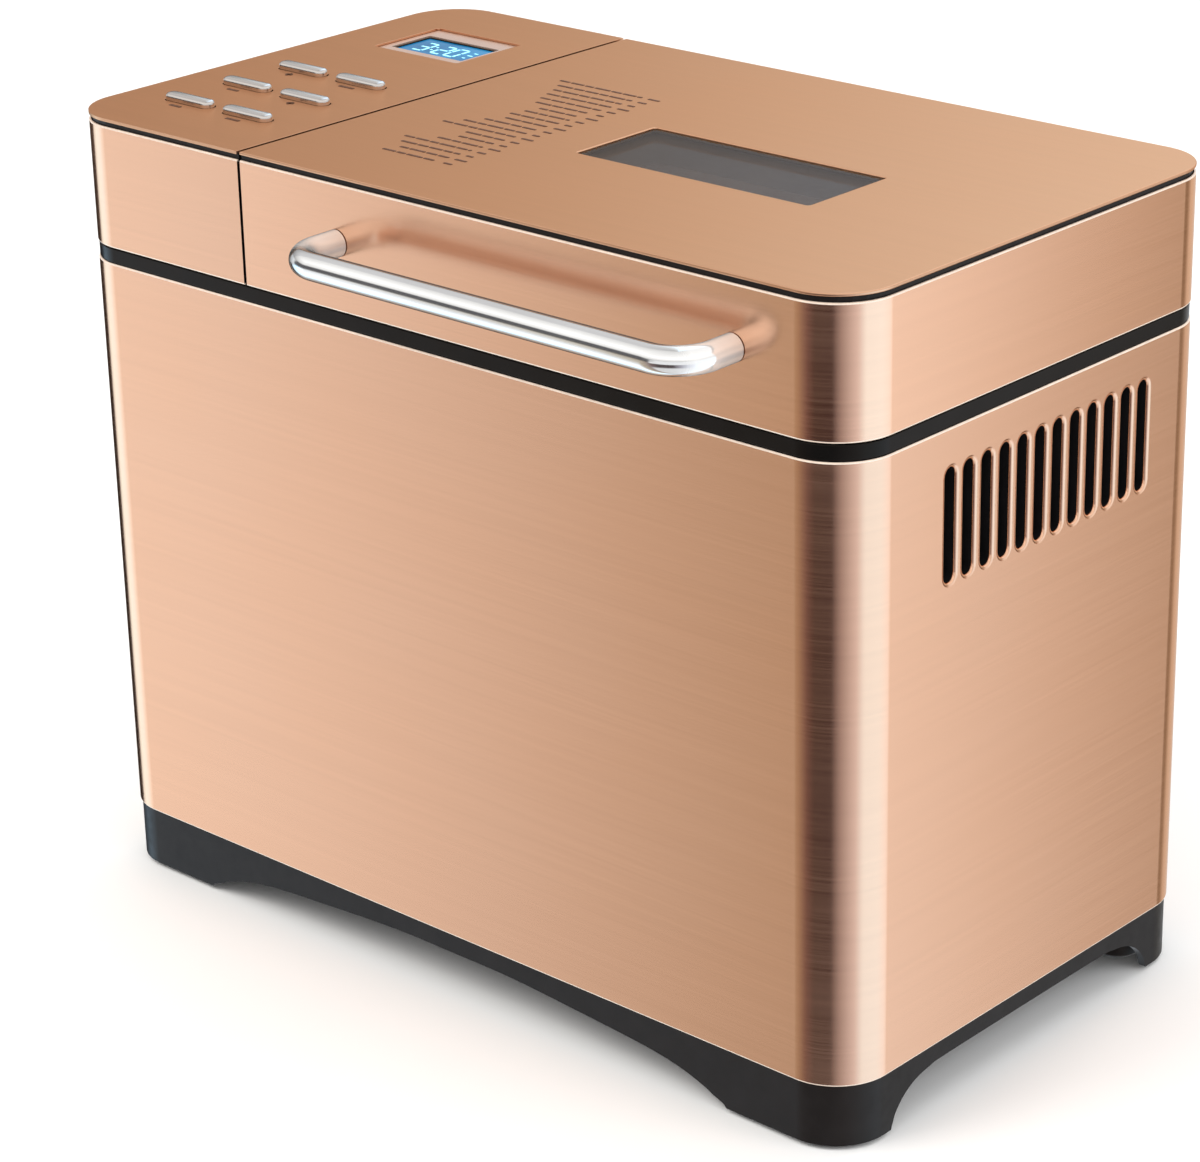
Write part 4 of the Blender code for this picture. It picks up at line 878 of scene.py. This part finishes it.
def make_oven():
    """The cavity is bright steel inside; its outer face, seen through the slots, is painted near-black shade.
    """
    hx, hy, r = 0.1130, 0.0800, 0.018
    low, high = 0.0580, OVEN_BOX[1][2]
    flange, soft = 0.006, 0.006

    def wall(out, corner=r):
        return about(OVEN, (hx + out, hy + out), corner)

    rings = [
        (wall(SKIN), low),
        (wall(SKIN), high - SKIN),
        (wall(flange, r + flange), high - SKIN),
        (wall(flange, r + flange), high),
        (wall(0), high),
    ]
    for i in range(7):
        a = math.pi / 2 * i / 6
        inset = soft * (1 - math.cos(a))
        rings.append((wall(-inset, r - inset * 0.6), low + SKIN + soft * (1 - math.sin(a))))
    oven = to_object("oven_liner", loft_mesh(rings), "oven_steel", "housing", ["oven_cavity"])
    holes = bmesh.new()
    drill(holes, 0.0065, (*OVEN, low), sides=32)
    for dy, z, radius in ((-0.013, 0.088, 0.0042), (0.013, 0.088, 0.0042), (0.040, 0.118, 0.0036)):
        drill(holes, radius, (OVEN[0] - hx, Y_MID + dy, z), "Y")
    finish_shape(oven, [holes], bevel=0.0002, segments=2)
    # painted shade: the outer faces below the flange take a near-black finish so the side's slots look dark
    # inside
    oven.data.materials.append(M["baked_steel"])
    for face in oven.data.polygons:
        out = max(abs(face.center.x - OVEN[0]) - hx, abs(face.center.y - OVEN[1]) - hy)
        if out > SKIN * 0.6 and face.center.z < high - SKIN * 0.9:
            face.material_index = 1


RIM_Z, BAIL_Z = 0.2230, 0.2262


def make_pan():
    """The coated pan: drawn walls with a soft floor corner and a rolled rim, and an ear at each end."""
    floor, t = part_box("bread_pan")[0][2], 0.0012
    hx, hy, bx, by, r = 0.0910, 0.0580, 0.0860, 0.0530, 0.018
    rings = []
    for i in range(6):
        a = math.pi / 2 * i / 5
        inset = 0.007 * (1 - math.sin(a))
        outline = about(OVEN, (bx - inset, by - inset), r - inset * 0.6)
        rings.append((outline, floor + 0.007 * (1 - math.cos(a))))
    rings.append((about(OVEN, (hx, hy), r), RIM_Z - 0.0034))
    roll = 0.0016
    for i in range(9):
        a = math.radians(-60 + 230 * i / 8)
        out = 0.0022 + roll * math.cos(a)
        rings.append((about(OVEN, (hx + out, hy + out), r + 0.0022), RIM_Z - roll + roll * math.sin(a)))
    rings.append((about(OVEN, (hx - t, hy - t), r - t), RIM_Z - 0.0020))
    for i in range(6):
        a = math.pi / 2 * (1 - i / 5)
        inset = t + 0.0065 * (1 - math.sin(a))
        corner = r - t - (inset - t) * 0.6
        rings.append((about(OVEN, (bx - inset, by - inset), corner), floor + t + 0.0065 * (1 - math.cos(a))))
    mesh = loft_mesh(rings)
    pan = to_object("coated_pan", mesh, "nonstick", "housing", ["bread_pan"], angle=50)
    hole = bmesh.new()
    drill(hole, 0.0043, (*OVEN, floor), sides=28)
    finish_shape(pan, [hole])
    make_ear(1, -1)
    make_ear(2, 1)


def make_ear(number, side):
    """The plate that carries the bail at one end of the pan, and its two rivets."""
    x, foot = OVEN[0] + side * 0.0965, RIM_Z - 0.0140
    turns = [math.radians(180 * i / 12) for i in range(13)]
    outline = [(0.0065 * math.cos(a), BAIL_Z + 0.0005 + 0.0045 * math.sin(a)) for a in turns]
    outline += [(-0.0075, foot), (0.0075, foot)]
    mesh = slab_mesh(*([(x + d, Y_MID + y, z) for y, z in outline] for d in (-0.0008, 0.0008)))
    ear = to_object(f"pan_ear_{number}", mesh, "zinc_steel", "housing")
    hole = bmesh.new()
    drill(hole, 0.0022, (x, Y_MID, BAIL_Z), "Y")
    finish_shape(ear, [hole], bevel=0.0003, segments=2)
    profile = [(0.0001, -0.0040), (0.0016, -0.0040), (0.0016, 0.0)]
    profile += [(0.0021, 0.0), (0.0016, 0.0009), (0.0001, 0.0012)]
    rivets = bmesh.new()
    for dy in (-0.0045, 0.0045):
        place = Matrix.Translation((x + side * 0.0008, Y_MID + dy, RIM_Z - 0.0085))
        stamp(rivets, lathe(profile), place @ quarter_turn("Y", side))
    to_object(f"ear_rivets_{number}", rivets, "zinc_steel", "housing")


def make_bail():
    reach, front = 0.1003, Y_MID - 0.058
    left, right = OVEN[0] - reach, OVEN[0] + reach
    path = [(left + 0.0070, Y_MID, BAIL_Z)]
    path += bend((left, Y_MID, BAIL_Z), (-1, 0, 0), (0, -1, 0), 0.0022, 8)
    path += bend((left, front, BAIL_Z), (0, -1, 0), (1, 0, 0), 0.012, 12)
    path += bend((right, front, BAIL_Z), (1, 0, 0), (0, 1, 0), 0.012, 12)
    path += bend((right, Y_MID, BAIL_Z), (0, 1, 0), (-1, 0, 0), 0.0022, 8)
    path.append((right - 0.0070, Y_MID, BAIL_Z))
    to_object("pan_handle_wire", swept(path, 0.00175, 20), "chrome", "bail", ["pan_bail"])


# ---------------------------------------------------------------- lid and control section
def plate_hole(outline):
    return prism_mesh(outline, Z_PLATE - 0.004, Z_TOP + 0.004)


def make_lid():
    inner = lid_outline(SKIN)[::-1]
    rings = hemmed(lambda inset: lid_outline(inset) + inner, Z_SKIRT, Z_SKIRT_TOP)
    skirt = to_object("lid_sheet", loft_mesh(rings), "rose_lid", "lid", ["lid_skirt"])
    notches = bmesh.new()
    for side in ("left", "right"):
        block(notches, (middle(f"hinge_bracket_{side}")[0], Y1, 0.2580), (0.028, 0.008, 0.012))
    finish_shape(skirt, [notches], bevel=0.00025)
    paint_hem_highlights(skirt, Z_SKIRT, Z_SKIRT_TOP)

    mesh = prism_mesh(lid_outline(0), Z_PLATE, Z_TOP)
    plate = to_object("lid_top_sheet", mesh, "rose_top", "lid", ["lid_plate"])
    finish_shape(plate, [plate_hole(rounded(*WINDOW, 0.0012, 5))], bevel=0.0004, segments=4)


def make_liner():
    """The pressed liner: a flat flange, a rolled shoulder, a dome and a window opening."""
    low, high, r, soft = 0.2594, 0.2880, 0.018, 0.004
    flange = about(((X_LID + X1) / 2, Y_MID), (0.1310, 0.0965), 0.016, 20)

    def foot(out):
        return about(OVEN, (0.1175 + out, 0.0845 + out), r, 20)

    def dome(offset):
        rings = []
        for i in range(7):
            a = math.pi / 2 * i / 6
            inset = soft * (1 - math.cos(a))
            half = (0.1110 - inset + offset, 0.0780 - inset + offset)
            rings.append((about(OVEN, half, r - inset * 0.7, 20), high + offset - soft * (1 - math.sin(a))))
        return rings

    shoulder = [
        (foot(SKIN), low + SKIN + 0.0005),
        (flange, low + SKIN),
        (flange, low),
        (foot(0.0006), low),
        (foot(-0.0002), low + 0.0008),
    ]
    mesh = loft_mesh(dome(SKIN)[::-1] + shoulder + dome(0.0))
    liner = to_object("pressed_liner", mesh, "oven_steel", "lid", ["lid_liner"], angle=60)
    hole = prism_mesh(rounded(*WINDOW, 0.004, 6), high - 0.004, high + 0.004)
    finish_shape(liner, [hole], bevel=0.0002, segments=2)


def make_handle():
    (x0, y0, z0), (x1, y1, z1) = HANDLE_BOX
    r, turn, z = 0.005, 0.014, (z0 + z1) / 2
    left, right, bar = x0 + r, x1 - r, y0 + r
    path = [(left, y1, z), (left, y1 - 0.004, z)]
    path += bend((left, bar, z), (0, -1, 0), (1, 0, 0), turn, 22)
    path += [(left + (right - left) * t / 12, bar, z) for t in range(2, 11)]
    path += bend((right, bar, z), (1, 0, 0), (0, 1, 0), turn, 22)
    path += [(right, y1 - 0.004, z), (right, y1, z)]
    to_object("chrome_handle", swept(path, r, 56), "handle_chrome", "lid", ["handle"])


def button_centre(name):
    return middle(f"{name}_button")[:2]


def make_panel():
    seam = next(i for i, (x, y) in enumerate(panel_outline(0)) if x == X_PANEL) + 1

    def loop(inset):
        outer, inner = panel_outline(inset), panel_outline(SKIN)
        return outer[seam:] + outer[:seam] + (inner[seam:] + inner[:seam])[::-1]

    rings = hemmed(loop, Z_SKIRT, Z_SKIRT_TOP)
    skirt = to_object("panel_sheet", loft_mesh(rings), "rose_side", "housing", ["panel_skirt"])
    finish_shape(skirt, bevel=0.00025)
    paint_hem_highlights(skirt, Z_SKIRT, Z_SKIRT_TOP)

    cuts = [plate_hole(rounded(*DISPLAY, 0.0012, 5))]
    cuts += [plate_hole(pill(button_centre(name), 0.0248, 0.0068)) for name in BUTTONS]
    mesh = prism_mesh(panel_outline(0), Z_PLATE, Z_TOP)
    plate = to_object("panel_top_sheet", mesh, "rose_top", "housing", ["panel_plate"])
    finish_shape(plate, cuts, bevel=0.0004, segments=4)


def make_button(name):
    """A metallised bar: flat sides, then a crown that rolls over to a soft ridge."""
    centre, top = button_centre(name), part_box(f"{name}_button")[1][2]
    length, width, r = 0.0240, 0.0060, 0.0014
    rings = [(pill(centre, length, width), 0.2992), (pill(centre, length, width), top - r)]
    for i in range(1, 9):
        a = math.pi / 2 * i / 8
        inset = r * (1 - math.cos(a))
        rings.append((pill(centre, length - 2 * inset, width - 2 * inset), top - r + r * math.sin(a)))
    rings.append((pill(centre, length - 2 * r - 0.0008, width - 2 * r - 0.0008), rings[-1][1] + 0.0001))
    body, node = f"{name}_key", f"{name}_button"
    to_object(f"{name}_bar", loft_mesh(rings), "silver_plastic", body, [node], angle=50)


def make_display():
    """Digits of plain bars, a colon and a row of small marks on the lit panel, in a black border of painted
    shade.
    """
    (x0, y0, _), (x1, y1, top) = LCD_BOX
    z0, z1 = top + 0.00002, top + 0.00012
    y_mid = (y0 + y1) / 2 - 0.0006
    bm = bmesh.new()

    def bar(x, dy, width, height):
        block(bm, (x, y_mid + dy, (z0 + z1) / 2), (width, height, z1 - z0))

    wide, tall, thick = 0.0050, 0.0104, 0.00095
    level, upright = (wide - thick, thick), (thick, tall / 2 - thick)
    places = {
        "a": (0, tall / 2, *level),
        "g": (0, 0, *level),
        "d": (0, -tall / 2, *level),
        "f": (-wide / 2, tall / 4, *upright),
        "b": (wide / 2, tall / 4, *upright),
        "e": (-wide / 2, -tall / 4, *upright),
        "c": (wide / 2, -tall / 4, *upright),
    }
    start = x0 + 0.0085
    for offset, lit in ((0, "abgcd"), (0.0098, "abged"), (0.0168, "abcdef")):
        for key in lit:
            dx, dy, width, height = places[key]
            bar(start + offset + dx, dy, width, height)
    for dy in (0.0018, -0.0018):
        bar(start + 0.0049, dy, 0.0009, 0.0009)
    for i, width in enumerate((0.0018, 0.0026, 0.0014)):
        bar(x1 - 0.0048, 0.0036 - 0.0036 * i, width, 0.0007)
    to_object("display_digits", bm, "digits", "housing", angle=None)
    # painted shade: a black border round the lit panel, standing in for the shadow of a deeper recess
    edge, proud = 0.0007, z1 + 0.0003
    outer = rounded(x0, x1, y0, y1, 0.0006, 4)
    inner = rounded(x0 + edge, x1 - edge, y0 + edge, y1 - edge, 0.0006, 4)
    mesh = loft_mesh([(outer, z0), (outer, proud), (inner, proud), (inner, z0)], closed=True)
    to_object("display_shade_border", mesh, "band_plastic", "housing", angle=40)


def print_bars(name, bars, body):
    """Small printed bars, each (x, y, width, height), just proud of the top plates."""
    z = Z_TOP + 0.00003
    bm = bmesh.new()
    for x, y, w, h in bars:
        outline = rounded(x - w / 2, x + w / 2, y - h / 2, y + h / 2, min(w, h) * 0.3, 2)
        skin(bm, [[(a, b, level) for a, b in outline] for level in (z, z + 0.00004)])
    to_object(name, bm, "print", body, angle=None)


def make_print():
    """A generic table of plain bars on the lid, and one mark in front of each button."""
    lengths = (27, 24, 29, 33, 22, 17, 19, 36, 31, 26, 21, 24, 22, 20, 27, 30, 32, 34, 37, 41)
    end, column, height, gap = -0.0255, -0.0225, 0.0014, 0.0007
    bars = []
    for row, length in enumerate(lengths):
        y = Y0 + 0.0345 + row * 0.00565
        x = end - length / 1000
        step = 0
        while x < end - 0.0012:
            w = min((0.0064, 0.0042, 0.0076, 0.0050)[(row + step) % 4], end - x)
            bars.append((x + w / 2, y, w, height))
            x += w + gap
            step += 1
        w = (0.0040, 0.0056, 0.0034)[row % 3]
        bars.append((column + w / 2, y, w, height))
    print_bars("menu_print", bars, "lid")
    marks = []
    for name, w in zip(BUTTONS, (0.0062, 0.0074, 0.0060, 0.0034, 0.0034, 0.0080)):
        x, y = button_centre(name)
        marks.append((x - 0.001, y - 0.0066, w, 0.0017))
        if w < 0.004:
            marks.append((x - 0.001, y - 0.0066, 0.0011, 0.0036))
    print_bars("button_print", marks, "housing")


# ---------------------------------------------------------------- all together
make_camera()
make_world()
M = make_materials()
make_stage()

for node, obj in frame["nodes"].items():
    finish = next(s["material_slot"] for s in frame["record"]["subparts"] if s["node"] == node)
    for material_slot in obj.material_slots:
        material_slot.material = M["rose_side" if finish == "rose_steel" else finish]

make_wrap()
make_back_seam()
make_band()
make_base()
make_oven()
make_pan()
make_bail()
make_lid()
make_liner()
make_handle()
make_panel()
for button in BUTTONS:
    make_button(button)
make_display()
make_print()
